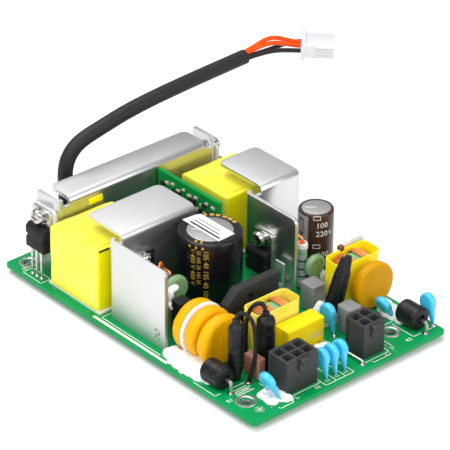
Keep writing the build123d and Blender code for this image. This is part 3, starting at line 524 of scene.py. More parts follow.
class Look:
    """Every finish of the power supply."""

    MASK = Finish("green_solder_mask", (0.0, 0.27, 0.07), (0.0, 0.33, 0.1), 0.4, 60, coat=0.04,
                  tone_amount=0.6, grain_scale=900, relief=0.08, dust=0.0, specular=0.15)
    DAUGHTER = Finish("dark_solder_mask", (0.0, 0.24, 0.04), (0.0, 0.3, 0.06), 0.4, 140, coat=0.1,
                      specular=0.2, dust=0.0)
    SILK = Finish("silk_print", (0.84, 0.86, 0.76), (0.92, 0.92, 0.86), 0.6, grain_scale=3000, dust=0.0)
    TRACK = Finish("covered_track", (0.0, 0.38, 0.12), (0.01, 0.45, 0.16), 0.36, 200, coat=0.12,
                   specular=0.25, dust=0.0)
    TIN = Finish("tinned_metal", (0.6, 0.59, 0.57), (0.78, 0.77, 0.75), 0.28, 500, 1.0, grain_change=0.25,
                 relief=0.2)
    DULL_TIN = Finish("dull_plating", (0.42, 0.42, 0.43), (0.6, 0.6, 0.6), 0.42, 700, 1.0, tone_amount=0.8,
                      grain_scale=1600, grain_change=0.3, relief=0.3)
    SOLDER = Finish("solder", (0.55, 0.55, 0.54), (0.74, 0.74, 0.73), 0.24, 700, 1.0)
    NICKEL = Finish("nickel_plate", (0.5, 0.49, 0.47), (0.68, 0.67, 0.64), 0.2, 500, 1.0, grain_change=0.1,
                    relief=0.08)
    # painted shade: front faces of this sheet are much darker than the rest, standing in for the dark
    # reflections on the heatsink walls
    SHEET = Finish("rolled_aluminium", (0.64, 0.64, 0.65), (0.72, 0.72, 0.725), 0.36, 45, 0.78,
                   tone_amount=0.7, grain_scale=900, grain_stretch=(1.0, 1.0, 0.2), grain_change=0.1,
                   relief=0.1, relief_depth=0.00002, dust=0.02, top_roughness=0.62, front=(0.36, 0.36, 0.37))
    # painted light: a copy of the sheet finish for the right heatsink, whose front faces are lighter than the
    # rest to stand in for the light on its wall
    SHEET_PAINTED_LIGHT = replace(SHEET, name="aluminium_with_painted_light", colour=(0.6, 0.6, 0.61), roughness=0.33,
                           metallic=1.0, grain_stretch=(1.0, 1.0, 0.1), grain_change=0.14,
                           front=(0.7, 0.7, 0.71))
    # painted shade: the bracket's front faces are darker than the rest, standing in for the reflections on
    # them
    SHEET_REAR = replace(SHEET, name="bracket_aluminium", colour=(0.6, 0.6, 0.61), roughness=0.3,
                         metallic=0.95, grain_stretch=(0.2, 1.0, 1.0), grain_change=0.12,
                         front=(0.5, 0.5, 0.51))
    DISC_METAL = Finish("drawn_aluminium", (0.62, 0.62, 0.61), (0.74, 0.74, 0.73), 0.4, 300, 1.0,
                        grain_scale=1800, dust=0.02)
    NYLON = Finish("black_nylon", (0.032, 0.032, 0.033), (0.05, 0.05, 0.052), 0.45, 400, grain_scale=3500,
                   relief=0.3, dust=0.015, specular=0.25)
    MOULDED = Finish("moulded_black", (0.009, 0.009, 0.01), (0.016, 0.016, 0.017), 0.55, 500,
                     grain_scale=5000, relief=0.4, dust=0.015, specular=0.2)
    BRIDGE = Finish("moulded_dark_grey", (0.02, 0.02, 0.022), (0.032, 0.032, 0.035), 0.5, 300,
                    grain_scale=4000, relief=0.35, dust=0.02, specular=0.25)
    PAD_WHITE = Finish("white_pad", (0.6, 0.61, 0.62), (0.68, 0.68, 0.69), 0.5, 300, grain_scale=3000)
    SILICONE = Finish("white_silicone", (0.92, 0.94, 0.95), (0.97, 0.985, 0.99), 0.34, 250, coat=0.1,
                      grain_scale=700, relief=0.35, relief_depth=0.0002, dust=0.0)
    # painted shading: front faces take a purer, deeper yellow, standing in for the pale sheen that the lit
    # faces catch
    TAPE = Finish("yellow_tape", (0.97, 0.87, 0.05), (1.0, 0.93, 0.13), 0.26, 70, coat=0.12, tone_amount=0.8,
                  grain_scale=250, relief=0.3, relief_depth=0.0003, dust=0.0, specular=0.3,
                  front=(0.97, 0.88, 0.0))
    CHOKE_DEEP = Finish("deep_choke_tape", (0.93, 0.75, 0.0), (0.98, 0.84, 0.03), 0.24, coat=0.2,
                        tone_amount=0.8, grain_scale=200, relief=0.5, relief_depth=0.0004, dust=0.0,
                        specular=0.25)
    CHOKE_PALE = replace(CHOKE_DEEP, name="pale_choke_tape", colour=(0.84, 0.72, 0.05),
                         second=(0.92, 0.82, 0.18), coat=0.25, subsurface=0.15, specular=0.3)
    CREAM = Finish("cream_moulding", (0.8, 0.78, 0.64), (0.86, 0.84, 0.72), 0.45, 200)
    CARD = Finish("aged_card", (0.5, 0.47, 0.38), (0.6, 0.57, 0.47), 0.5, 400, tone_amount=0.8)
    CARD_BROWN = Finish("brown_end", (0.14, 0.04, 0.02), (0.2, 0.06, 0.03), 0.4, 500)
    WHITE = Finish("white_moulding", (0.84, 0.84, 0.83), (0.9, 0.9, 0.89), 0.38, 200, relief=0.1,
                   subsurface=0.15)
    PLUG = Finish("plug_moulding", (0.68, 0.69, 0.71), (0.74, 0.75, 0.77), 0.34, 150, relief=0.1,
                  subsurface=0.1, dust=0.0)
    CORE = Finish("green_core_coat", (0.2, 0.47, 0.18), (0.3, 0.56, 0.26), 0.4, 300, coat=0.2)
    COPPER = Finish("enamelled_copper", (0.72, 0.22, 0.05), (0.92, 0.42, 0.12), 0.3, 900, 0.7, coat=0.3,
                    dust=0.0)
    CAN_BLACK = Finish("black_sleeve", (0.006, 0.005, 0.007), (0.01, 0.009, 0.012), 0.26, coat=0.2,
                       grain_scale=260, relief=0.14, relief_depth=0.00015, dust=0.01, specular=0.25)
    CAN_BROWN = replace(CAN_BLACK, name="brown_sleeve", colour=(0.05, 0.02, 0.013),
                        second=(0.07, 0.028, 0.018), roughness=0.28, relief=0.12)
    STRIPE = Finish("grey_stripe", (0.3, 0.29, 0.29), (0.38, 0.37, 0.37), 0.34, 300, coat=0.15)
    PRINT_WHITE = Finish("white_print", (0.75, 0.76, 0.78), (0.82, 0.82, 0.84), 0.45, 900)
    PRINT_GOLD = Finish("gold_print", (0.5, 0.3, 0.04), (0.62, 0.4, 0.07), 0.45, 900, specular=0.2)
    PRINT_DARK = Finish("dark_print", (0.04, 0.04, 0.045), (0.07, 0.07, 0.075), 0.5, 900)
    LABEL = Finish("paper_label", (0.76, 0.76, 0.77), (0.82, 0.82, 0.82), 0.55, 200, dust=0.0)
    GOLD = Finish("golden_resin", (0.84, 0.4, 0.0), (0.9, 0.46, 0.0), 0.36, 140, coat=0.03, grain_scale=240,
                  relief=0.35, relief_depth=0.0003, dust=0.0, specular=0.15)
    OCHRE = replace(GOLD, name="ochre_resin", colour=(0.6, 0.28, 0.0), second=(0.7, 0.34, 0.0),
                    tone_scale=200, grain_scale=300, specular=0.1)
    SHRINK = Finish("shrunk_tube", (0.005, 0.005, 0.006), (0.012, 0.012, 0.013), 0.34, 300, grain_scale=420,
                    grain_stretch=(1.0, 1.0, 0.35), relief=0.7, relief_depth=0.0003, dust=0.01, specular=0.3)
    BOX_YELLOW = Finish("yellow_box", (0.95, 0.66, 0.004), (0.98, 0.73, 0.01), 0.38, 150, relief=0.2,
                        dust=0.0, specular=0.2)
    BOX_PINK = Finish("pink_brown_box", (0.36, 0.15, 0.11), (0.44, 0.2, 0.15), 0.45, 300, dust=0.01,
                      specular=0.25)
    BOX_GREY = Finish("grey_box", (0.21, 0.212, 0.215), (0.28, 0.283, 0.286), 0.45, 300, dust=0.02)
    BLUE = Finish("blue_resin", (0.04, 0.5, 0.8), (0.1, 0.6, 0.88), 0.22, 300, coat=0.3, grain_scale=500,
                  dust=0.0)
    GREEN = Finish("green_resin", (0.19, 0.34, 0.15), (0.26, 0.43, 0.22), 0.28, 300, coat=0.2,
                   grain_scale=500, relief=0.2, dust=0.01)
    JACKET = Finish("black_jacket", (0.008, 0.008, 0.009), (0.014, 0.014, 0.015), 0.5, 200, grain_scale=1800,
                    relief=0.35, dust=0.03, specular=0.3)
    WIRE_ORANGE = Finish("orange_wire", (0.95, 0.075, 0.0), (1.0, 0.11, 0.0), 0.35, 300, specular=0.25,
                         dust=0.0)
    CHIP = Finish("chip_black", (0.012, 0.012, 0.013), (0.02, 0.02, 0.022), 0.5, 700)
    CHIP_END = Finish("chip_end", (0.55, 0.54, 0.48), (0.74, 0.72, 0.64), 0.4, 900)
    CHIP_CREAM = Finish("chip_cream", (0.5, 0.44, 0.3), (0.62, 0.55, 0.4), 0.45, 900)


@dataclass
class Workbench:
    """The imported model's nodes, and the ways in which pieces are made from them."""

    nodes: dict[str, Piece]

    def hand_over(self, piece: Piece, finish: Finish, *replaced: str) -> Piece:
        """Gives a piece its finish and lets it ride on the board.

        Args:
            piece: the finished piece.
            finish: its finish.
            replaced: the nodes that it stands for.

        Returns:
            The same piece.
        """
        if replaced:
            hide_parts(*replaced)
        piece.data.materials.clear()
        piece.data.materials.append(finish.material())
        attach(piece, ROOT)
        LOG.info("made %s", piece.name)
        return piece

    def dress(self, finish: Finish, *nodes: str) -> None:
        """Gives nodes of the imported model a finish.

        Args:
            finish: the finish.
            nodes: the nodes.
        """
        for node in nodes:
            materials = self.nodes[node].data.materials
            materials.clear()
            materials.append(finish.material())
            LOG.info("dressed %s", node)

    def copy_of(self, node: str, name: str) -> Piece:
        """A loose copy of a node with its doubled points merged.

        Args:
            node: the node.
            name: the copy's name.

        Returns:
            The copy.
        """
        piece = linked(name, self.nodes[node].data.copy())
        with edit(piece):
            bpy.ops.mesh.remove_doubles(threshold=0.000002)
            bpy.ops.mesh.dissolve_limited(angle_limit=math.radians(0.6))
        if piece.data.has_custom_normals:
            bpy.ops.mesh.customdata_custom_splitnormals_clear()
        return piece

    def softened(self, node: str, name: str, width: float, finish: Finish, segments: int = 2,
                 angle: float = 38.0) -> Piece:
        """A copy of a node with its sharp edges rounded, in the node's place.

        Args:
            node: the node that it replaces.
            name: the new piece's name.
            width: the width of the rounding, in millimetres.
            finish: its finish.
            segments: how many faces make the rounding.
            angle: the least turn that counts as an edge, in degrees.

        Returns:
            The new piece.
        """
        return self.hand_over(bevelled(self.copy_of(node, name), width, segments, angle, 35.0), finish, node)

    def melted(self, node: str, name: str, voxel: float, rounds: int, finish: Finish,
               ripple: Ripple) -> Piece:
        """A copy of a node with its forms run together, in the node's place.

        Args:
            node: the node that it replaces.
            name: the new piece's name.
            voxel: the size of the new mesh's faces, in millimetres.
            rounds: how often the surface is smoothed.
            finish: its finish.
            ripple: its unevenness.

        Returns:
            The new piece.
        """
        return self.hand_over(skinned(self.copy_of(node, name), voxel, rounds, ripple), finish, node)

    @staticmethod
    def line(name: str, points: list[Vector], radius: float, sides: int, closed: bool = False) -> Piece:
        """A smooth curve with a round section.

        Args:
            name: the piece's name.
            points: the curve's control points, in metres.
            radius: the section's radius, in millimetres.
            sides: the bevel resolution of the section.
            closed: whether the curve closes on itself.

        Returns:
            The curve.
        """
        curve = bpy.data.curves.new(name, "CURVE")
        curve.dimensions, curve.resolution_u = "3D", 8
        curve.bevel_depth, curve.bevel_resolution, curve.use_fill_caps = radius * MM, sides, True
        spline = curve.splines.new("NURBS")
        spline.points.add(len(points) - 1)
        for point, place in zip(spline.points, points):
            point.co = (*place, 1.0)
        spline.use_cyclic_u = closed
        spline.order_u = 3
        spline.use_endpoint_u = not closed
        return linked(name, curve)

    def tube(self, points: list[Vector], radius: float, sides: int = 3, closed: bool = False) -> Piece:
        """A round wire along a smooth line, as a mesh.

        Args:
            points: the line's control points, in metres.
            radius: the wire's radius, in millimetres.
            sides: the bevel resolution of the wire's section.
            closed: whether the line closes on itself.

        Returns:
            The wire.
        """
        pick(self.line("wire", points, radius, sides, closed))
        bpy.ops.object.convert(target="MESH")
        return smooth(bpy.context.object, 60.0)

    @staticmethod
    def shell(name: str, points: list[Vector], faces: list[tuple[int, ...]]) -> Piece:
        """A closed piece from its points and faces.

        Args:
            name: the piece's name.
            points: its points, in metres.
            faces: the points of each face.

        Returns:
            The piece, with its faces turned outwards.
        """
        mesh = bpy.data.meshes.new(name)
        mesh.from_pydata(points, [], faces)
        piece = linked(name, mesh)
        with edit(piece):
            bpy.ops.mesh.normals_make_consistent(inside=False)
        return piece

    def plate(self, name: str, outline: list[Vector], normal: Vector = UP, thickness: float = 0.05) -> Piece:
        """A thin flat piece from an outline, raised from its surface.

        Args:
            name: the piece's name.
            outline: its corners in metres, in order.
            normal: the way that it is raised.
            thickness: how far it is raised, in millimetres.

        Returns:
            The piece.
        """
        count = len(outline)
        sides = [(index, (index + 1) % count, (index + 1) % count + count, index + count)
                 for index in range(count)]
        faces = [tuple(range(count))[::-1], tuple(range(count, 2 * count)), *sides]
        return self.shell(name, [*outline, *[corner + normal * thickness * MM for corner in outline]], faces)

    def mark(self, corner: Vector, run: Vector, height: float, normal: Vector,
             thickness: float = 0.03) -> Piece:
        """A printed oblong on an upright face.

        Args:
            corner: its lower corner, in metres.
            run: its lower edge, in millimetres.
            height: its height, in millimetres.
            normal: the way that the face looks.
            thickness: how far it is raised, in millimetres.

        Returns:
            The mark.
        """
        end, rise = corner + run * MM, UP * height * MM
        return self.plate("mark", [corner, end, end + rise, corner + rise], normal, thickness)

    def ribbon(self, points: list[Vector], width: float, thickness: float = 0.05) -> Piece:
        """A printed line of one width along straight runs on a level surface.

        Args:
            points: the line's corners, in metres.
            width: its width, in millimetres.
            thickness: how far it is raised, in millimetres.

        Returns:
            The line.
        """
        half = width * MM / 2
        pieces = []
        for start, end in zip(points, points[1:]):
            reach = (end - start).normalized() * half
            side = UP.cross(reach)
            pieces.append(self.plate("ribbon", [start - reach - side, end + reach - side, end + reach + side,
                                                start - reach + side], thickness=thickness))
        return join("ribbon", pieces)

    @staticmethod
    def signs(words: str, height: float, depth: float, detail: int) -> Piece:
        """Plain signs as a thin flat mesh at the origin.

        Args:
            words: the signs.
            height: the height of a sign, in millimetres.
            depth: half of the print's thickness, in millimetres.
            detail: the fineness of the signs' curves.

        Returns:
            The signs.
        """
        deselect()
        bpy.ops.object.text_add()
        text = bpy.context.object.data
        text.body, text.size = words, height * MM * SIGN_SCALE
        text.resolution_u, text.extrude = detail, depth * MM
        bpy.ops.object.convert(target="MESH")
        return bpy.context.object

    @staticmethod
    def turned(name: str, x: float, y: float, line: list[Number2], steps: int = 64) -> Piece:
        """A piece turned on a lathe from half of its outline.

        Args:
            name: the piece's name.
            x: the axis, in board millimetres.
            y: the axis, in board millimetres.
            line: radius and height of each point of the outline, in millimetres.
            steps: how many faces go round.

        Returns:
            The piece, closed where the outline ends at the axis or on itself.
        """
        mesh = bpy.data.meshes.new(name)
        edges = [(index, index + 1) for index in range(len(line) - 1)]
        mesh.from_pydata([at(x + reach, y, z) for reach, z in line], edges, [])
        piece = linked(name, mesh)
        with edit(piece):
            bpy.ops.mesh.spin(steps=steps, angle=2 * math.pi, center=at(x, y), axis=UP)
            bpy.ops.mesh.select_all(action="SELECT")
            bpy.ops.mesh.remove_doubles(threshold=0.00001)
            if line[0] != line[-1]:
                bpy.ops.mesh.select_all(action="DESELECT")
                bpy.ops.mesh.select_non_manifold()
                bpy.ops.mesh.fill()
            bpy.ops.mesh.select_all(action="SELECT")
            bpy.ops.mesh.normals_make_consistent(inside=False)
        return smooth(piece, 50.0)

    @staticmethod
    def blob(name: str, lumps: tuple[tuple[float, ...], ...], height: float = 0.9) -> Piece:
        """Lumps of a soft paste run together.

        Args:
            name: the piece's name.
            lumps: middle and half sizes along X, Y and Z of each lump, in board millimetres.
            height: the height of the paste's unevenness, in millimetres.

        Returns:
            The paste as one closed piece.
        """
        parts = []
        for lump in lumps:
            deselect()
            bpy.ops.mesh.primitive_ico_sphere_add(subdivisions=3, radius=MM, location=at(*lump[:3]))
            parts.append(added("lump", lump[3:]))
        return skinned(join(name, parts), 0.22, 3, Ripple(height, 1.7, detail=3))

    @staticmethod
    def brick(name: str, low: Number3, high: Number3, rounding: float) -> Piece:
        """A small box with rounded edges.

        Args:
            name: the piece's name.
            low: its lowest corner, in board millimetres.
            high: its highest corner, in board millimetres.
            rounding: the width of the rounding, in millimetres.

        Returns:
            The box.
        """
        first, last = at(*low), at(*high)
        deselect()
        bpy.ops.mesh.primitive_cube_add(size=1.0, location=(first + last) / 2)
        return bevelled(added(name, last - first), rounding)

    @staticmethod
    def drum(name: str, middle: Number3, radius: float, height: float, rounding: float = 0.0,
             turn: Number3 = (0.0, 0.0, 0.0), segments: int = 3, sides: int = 96) -> Piece:
        """A round piece with rounded rims.

        Args:
            name: the piece's name.
            middle: its middle, in board millimetres.
            radius: its radius, in millimetres.
            height: its height, in millimetres.
            rounding: the width of the rims' rounding, in millimetres.
            turn: its turn about each axis.
            segments: how many faces make the rounding.
            sides: how many faces go round.

        Returns:
            The piece.
        """
        deselect()
        bpy.ops.mesh.primitive_cylinder_add(vertices=sides, radius=radius * MM, depth=height * MM,
                                            location=at(*middle), rotation=turn)
        piece = added(name)
        return bevelled(piece, rounding, segments, 60.0) if rounding else smooth(piece)

    @staticmethod
    def cone(start: Vector, end: Vector, low: float, high: float, spare: float = 0.0) -> Piece:
        """A tapered piece from one place to another.

        Args:
            start: the middle of its foot, in metres.
            end: the middle of its head, in metres.
            low: the radius of its foot, in millimetres.
            high: the radius of its head, in millimetres.
            spare: how much longer it is than the way, in millimetres.

        Returns:
            The piece.
        """
        way = end - start
        deselect()
        bpy.ops.mesh.primitive_cone_add(vertices=24, radius1=low * MM, radius2=high * MM,
                                        depth=way.length + spare * MM, location=(start + end) / 2,
                                        rotation=way.to_track_quat("Z", "Y").to_euler())
        return added("cone")


@dataclass
class Studio:
    """The camera of the photograph, a plain floor and soft light."""

    azimuth: float = -41.42
    elevation: float = 30.37
    roll: float = 0.57
    distance: float = 1.0587
    lens: float = 233.87
    target: Number3 = (0.0345, 0.0377, 0.002)
    floor_size: float = 6.0
    floor_z: float = -0.0001
    sky_strength: float = 0.42
    softboxes: tuple[tuple[str, Number3, float, float], ...] = (
        ("top_softbox", (-0.1, 0.35, 1.3), 1.2, 15.0), ("left_softbox", (-1.1, 0.0, 0.75), 0.8, 5.5),
        ("front_softbox", (0.35, -1.15, 0.55), 0.8, 6.5), ("corner_softbox", (-0.7, -0.95, 1.0), 0.7, 5.5))

    def camera(self) -> None:
        """Places the camera by its azimuth, elevation, roll and distance."""
        turn, rise, roll = (math.radians(angle) for angle in (self.azimuth, self.elevation, self.roll))
        back = Vector((math.sin(turn) * math.cos(rise), -math.cos(turn) * math.cos(rise), math.sin(rise)))
        level = Vector((math.cos(turn), math.sin(turn), 0.0))
        side = math.cos(roll) * level + math.sin(roll) * back.cross(level)
        data = bpy.data.cameras.new("photo_camera")
        data.sensor_width, data.lens, data.clip_start, data.clip_end = 36.0, self.lens, 0.05, 20.0
        eye = linked("photo_camera", data)
        spin = Matrix((side, back.cross(side), back)).transposed().to_4x4()
        eye.matrix_world = Matrix.Translation(Vector(self.target) + back * self.distance) @ spin
        bpy.context.scene.camera = eye

    def floor(self) -> None:
        """A plain white floor under the board."""
        deselect()
        bpy.ops.mesh.primitive_plane_add(size=self.floor_size, location=(0.0, 0.0, self.floor_z))
        floor = bpy.context.object
        floor.name = "floor"
        paper = bpy.data.materials.new("studio_paper")
        paper.use_nodes = True
        shader = paper.node_tree.nodes["Principled BSDF"]
        shader.inputs["Base Color"].default_value = (0.9, 0.9, 0.9, 1.0)
        shader.inputs["Roughness"].default_value = 0.9
        floor.data.materials.append(paper)

    def light(self) -> None:
        """A pale sky, and softboxes that face the board."""
        world = bpy.data.worlds.new("studio_sky")
        world.use_nodes = True
        sky = world.node_tree.nodes["Background"]
        sky.inputs["Color"].default_value = (1.0, 1.0, 1.0, 1.0)
        sky.inputs["Strength"].default_value = self.sky_strength
        bpy.context.scene.world = world
        for name, place, size, power in self.softboxes:
            data = bpy.data.lights.new(name, "AREA")
            data.shape, data.size, data.energy = "SQUARE", size, power
            lamp = linked(name, data)
            lamp.location = place
            aim = Vector((0.0, 0.0, 0.01)) - Vector(place)
            lamp.rotation_euler = aim.to_track_quat("-Z", "Y").to_euler()
        bpy.context.scene.view_settings.view_transform = "Standard"
        bpy.context.scene.view_settings.look = "None"

    def build(self) -> None:
        """The whole studio."""
        self.camera()
        self.floor()
        self.light()


@dataclass
class SignalCable:
    """The cable that stands behind the rear bracket, its four wires and its plug."""

    bench: Workbench
    plane_y: float = 128.0
    sleeve_r: float = 2.75
    sleeve_length: float = 0.1199
    wire_r: float = 0.85
    lead_in: float = 3.0
    plug_place: Number3 = (136.4, 128.0, 44.6)
    plug_turn: float = -45.0
    plug_crowd: float = 0.4
    spread: float = 0.6
    lift: float = 1.0
    route: tuple[Number2, ...] = (
        (24.8, 1.6), (24.8, 14.8), (24.2, 25.2), (24.3, 33.4), (26.9, 38.3), (31.4, 41.3),
        (39.9, 43.2), (56.0, 46.3), (82.2, 48.1), (108.2, 49.1))
    orange_rows: tuple[Number4, ...] = ((0.9, 1.3, 3.0, 1.4), (0.4, 0.9, 1.7, -1.2))
    black_rows: tuple[Number4, ...] = ((-0.9, -0.6, 0.4, -4.1), (0.9, -1.2, -1.4, 4.1))

    def wires(self, rows: tuple[Number4, ...], name: str) -> Piece:
        """Loose wires from the sleeve's mouth to the plug.

        Args:
            rows: sideways place, height, bow and place at the plug of each wire.
            name: the name of the joined wires.

        Returns:
            The wires as one piece.
        """
        last, before = [at(x, self.plane_y, z) for x, z in (self.route[-1], self.route[-2])]
        along = (last - before).normalized()
        side = Vector((0.0, 1.0, 0.0))
        turn = Matrix.Rotation(math.radians(self.plug_turn), 3, "Z")
        made = []
        for offset_y, offset_z, bow, end_y in rows:
            start = last + (side * offset_y + along.cross(side) * offset_z) * MM
            end, enter = [at(*self.plug_place) + turn @ Vector((back, end_y, offset_z * self.plug_crowd)) * MM
                          for back in (0.0, -self.lead_in)]
            leave = start + along * self.lead_in * MM
            middle = (leave + enter) / 2 + Vector((0.0, offset_y * self.spread, bow + self.lift)) * MM
            made.append(self.bench.tube([start, leave, middle, enter, end], self.wire_r))
        return join(name, made)

    def build(self) -> None:
        """The cable with its wires and plug."""
        bench = self.bench
        sleeve = bench.line("cable_jacket", [at(x, self.plane_y, z) for x, z in self.route], self.sleeve_r, 6)
        sleeve.data.resolution_u = 12
        bench.hand_over(sleeve, Look.JACKET, "cable_sleeve")
        orange = self.wires(self.orange_rows, "orange_wire_pair")
        bench.hand_over(orange, Look.WIRE_ORANGE, "orange_wires")
        black = bench.hand_over(self.wires(self.black_rows, "black_wire_pair"), Look.JACKET, "black_wires")
        plug = bench.softened("signal_plug", "plug_housing", 0.18, Look.PLUG)
        at(self.route[0][0], self.plane_y, BOARD_TOP)


@dataclass
class MetalWork:
    """The rear bracket and the heatsinks, with what is screwed to them."""

    bench: Workbench

    def wing_print(self) -> None:
        """A small plain block of printed lines near the lower corner of the left heatsink's wing."""
        run = Vector((0.0, -0.7, 0.0))
        ticks = [self.bench.mark(at(5.6, 56.6 - 0.95 * column, 8.2 - 0.8 * row), run, 0.45, LEFT)
                 for row in range(5) for column in range(3) if (row + column) % 3 != 2]
        self.bench.hand_over(join("wing_print", ticks), Look.PRINT_DARK)

    def build(self) -> None:
        """Rounds the sheets' edges and dresses the screwed parts."""
        for row in (("rear_bracket", "rear_bracket_sheet", 0.22, Look.SHEET_REAR, 2, 50.0),
                    ("left_heatsink", "left_heatsink_sheet", 0.22, Look.SHEET, 2, 50.0),
                    ("right_heatsink", "right_heatsink_sheet", 0.22, Look.SHEET_PAINTED_LIGHT, 2, 50.0),
                    ("transistor_cases", "transistor_mouldings", 0.25, Look.MOULDED),
                    ("insulating_plates", "white_insulators", 0.2, Look.PAD_WHITE),
                    ("heatsink_screws", "cross_head_screws", 0.12, Look.NICKEL, 2, 28.0),
                    ("transistor_leadframes", "tinned_leadframes", 0.08, Look.TIN, 1),
                    ("heatsink_nuts", "hexagon_nuts", 0.15, Look.NICKEL),
                    ("heatsink_lug", "folded_lug", 0.12, Look.SHEET)):
            self.bench.softened(*row)
        self.bench.dress(Look.NICKEL, "spring_washers", "flat_washers")
        self.wing_print()


@dataclass
class WoundParts:
    """The taped transformers and the chokes in their open sleeves."""

    bench: Workbench
    choke_w: float = 19.4
    choke_d: float = 9.2
    places: tuple[Number3, ...] = ((27.2, 28.4, 17.5), (67.6, 31.9, 19.3))
    core_r: float = 5.9
    core_half_w: float = 7.95
    core_d: float = 5.4
    core_wall: float = 3.0
    core_drop: float = 1.45
    wire_r: float = 0.29
    wire_out: float = 0.75
    turns: int = 25
    first_turn: float = -66.0
    fan: float = 158.0

    def transformers(self) -> None:
        """The yellow wraps with their tape's soft folds, bobbins, tape ends and a slit."""
        bench = self.bench
        for side in ("left", "right"):
            piece = bench.softened(f"{side}_transformer_wrap", f"{side}_taped_transformer",
                                   0.7, Look.TAPE, 3, 25.0)
            cut = piece.modifiers.new("faces", "SUBSURF")
            cut.subdivision_type = "SIMPLE"
            cut.levels = cut.render_levels = 3
            Ripple(0.7, 9.0, 0.62).put_on(piece)
            smooth(apply_all(piece), 60.0)
        bench.softened("transformer_bobbins", "cream_bobbins", 0.15, Look.CREAM)
        tabs = [bench.brick("tape_tab", (21.6, 111.25, 26.2), (27.7, 111.7, 28.5), 0.1),
                bench.brick("tape_tab", (9.5, 83.6, 3.4), (26.0, 84.0, 3.9), 0.12)]
        bench.hand_over(join("tape_ends", tabs), Look.TAPE)
        bench.hand_over(bench.brick("wrap_slit", (4.0, 83.85, 25.9), (8.4, 84.6, 26.35), 0.12), Look.MOULDED)

    def winding(self, place: Number3, side: int) -> list[Piece]:
        """One winding: separate turns of copper that fan out round one end of the core.

        Args:
            place: the choke's corner and top, in board millimetres.
            side: 1 for the right end, -1 for the left end.

        Returns:
            The turns.
        """
        x, y, top = place
        centre = Vector((x + self.choke_w / 2, y + self.choke_d / 2, top - self.core_drop - self.core_r))
        centre += Vector((side * (self.core_half_w - self.core_r), 0.0, 0.0))
        half = self.core_d / 2 + self.wire_out
        inner, outer = self.core_r - self.core_wall - self.wire_r, self.core_r + self.wire_out
        corners = [Vector(corner)
                   for corner in ((inner, -half), (outer, -half), (outer, half), (inner, half))]
        across = Vector((0.0, 1.0, 0.0))
        turns = []
        for index in range(self.turns):
            angle = math.radians(self.first_turn + self.fan * index / (self.turns - 1))
            away = Vector((side * math.cos(angle), 0.0, math.sin(angle)))
            skew = across + 0.04 * away.cross(across)
            ring = []
            for start, end in zip(corners, corners[1:] + corners[:1]):
                for share in (0.12, 0.88):
                    reach = start.lerp(end, share)
                    ring.append(at(*(centre + away * reach.x + skew * reach.y)))
            turns.append(self.bench.tube(ring, self.wire_r, 2, True))
        return turns

    def chokes(self) -> None:
        """Both chokes: taped sleeve, base, coated core and copper turns."""
        sleeves = self.bench.softened("choke_sleeves", "taped_choke_sleeves", 0.12, Look.CHOKE_PALE)
        sleeves.data.materials.append(Look.CHOKE_DEEP.material())
        parting = at((self.places[0][0] + self.choke_w + self.places[1][0]) / 2, 0.0).x
        for face in sleeves.data.polygons:
            face.material_index = int(face.center.x > parting)
        self.bench.softened("choke_bases", "choke_saddles", 0.15, Look.CREAM)
        self.bench.softened("choke_cores", "coated_cores", 0.5, Look.CORE, 3, 50.0)
        turns = [turn for place in self.places for side in (1, -1) for turn in self.winding(place, side)]
        self.bench.hand_over(join("copper_turns", turns), Look.COPPER, "choke_windings")

    def build(self) -> None:
        """Every wound part."""
        self.transformers()
        self.chokes()


class Run(Enum):
    """The way in which signs run on a can."""

    ROUND = "round"
    DOWN = "down"


@dataclass(frozen=True)
class Can:
    """Sizes of one electrolytic capacitor, in board millimetres."""

    x: float
    y: float
    radius: float
    top: float
    disc_r: float
    sink: float = 0.4
    rim: float = 1.1
    foot: float = 1.6
    groove_z: float = 3.4

    def profile(self) -> list[Number2]:
        """Radius and height of the sleeve's outline from the foot to the disc.

        Returns:
            The outline's points.
        """
        groove = self.foot + self.groove_z
        line = [(self.radius * 0.9, self.foot), (self.radius, self.foot + 0.5)]
        line += [(self.radius - sink, groove + rise) for sink, rise in
                 ((0.0, -1.0), (0.35, -0.4), (0.5, 0.0), (0.35, 0.4), (0.0, 1.0))]
        line.append((self.radius, self.top - self.rim))
        for step in range(1, 6):
            turn = math.pi / 2 * step / 6
            line.append((self.radius - self.rim * (1 - math.cos(turn)),
                         self.top - self.rim * (1 - math.sin(turn))))
        return [*line, (self.radius - self.rim, self.top), (self.disc_r + 0.5, self.top - 0.03),
                (self.disc_r + 0.15, self.top - 0.12), (self.disc_r, self.top - self.sink)]

    def point(self, degrees: float, z: float, out: float = 0.0) -> Vector:
        """A place on the can's side.

        Args:
            degrees: its turn from +X.
            z: its height.
            out: how far it stands out.

        Returns:
            The place in metres.
        """
        turn, reach = math.radians(degrees), self.radius + out
        return at(self.x + reach * math.cos(turn), self.y + reach * math.sin(turn), z)


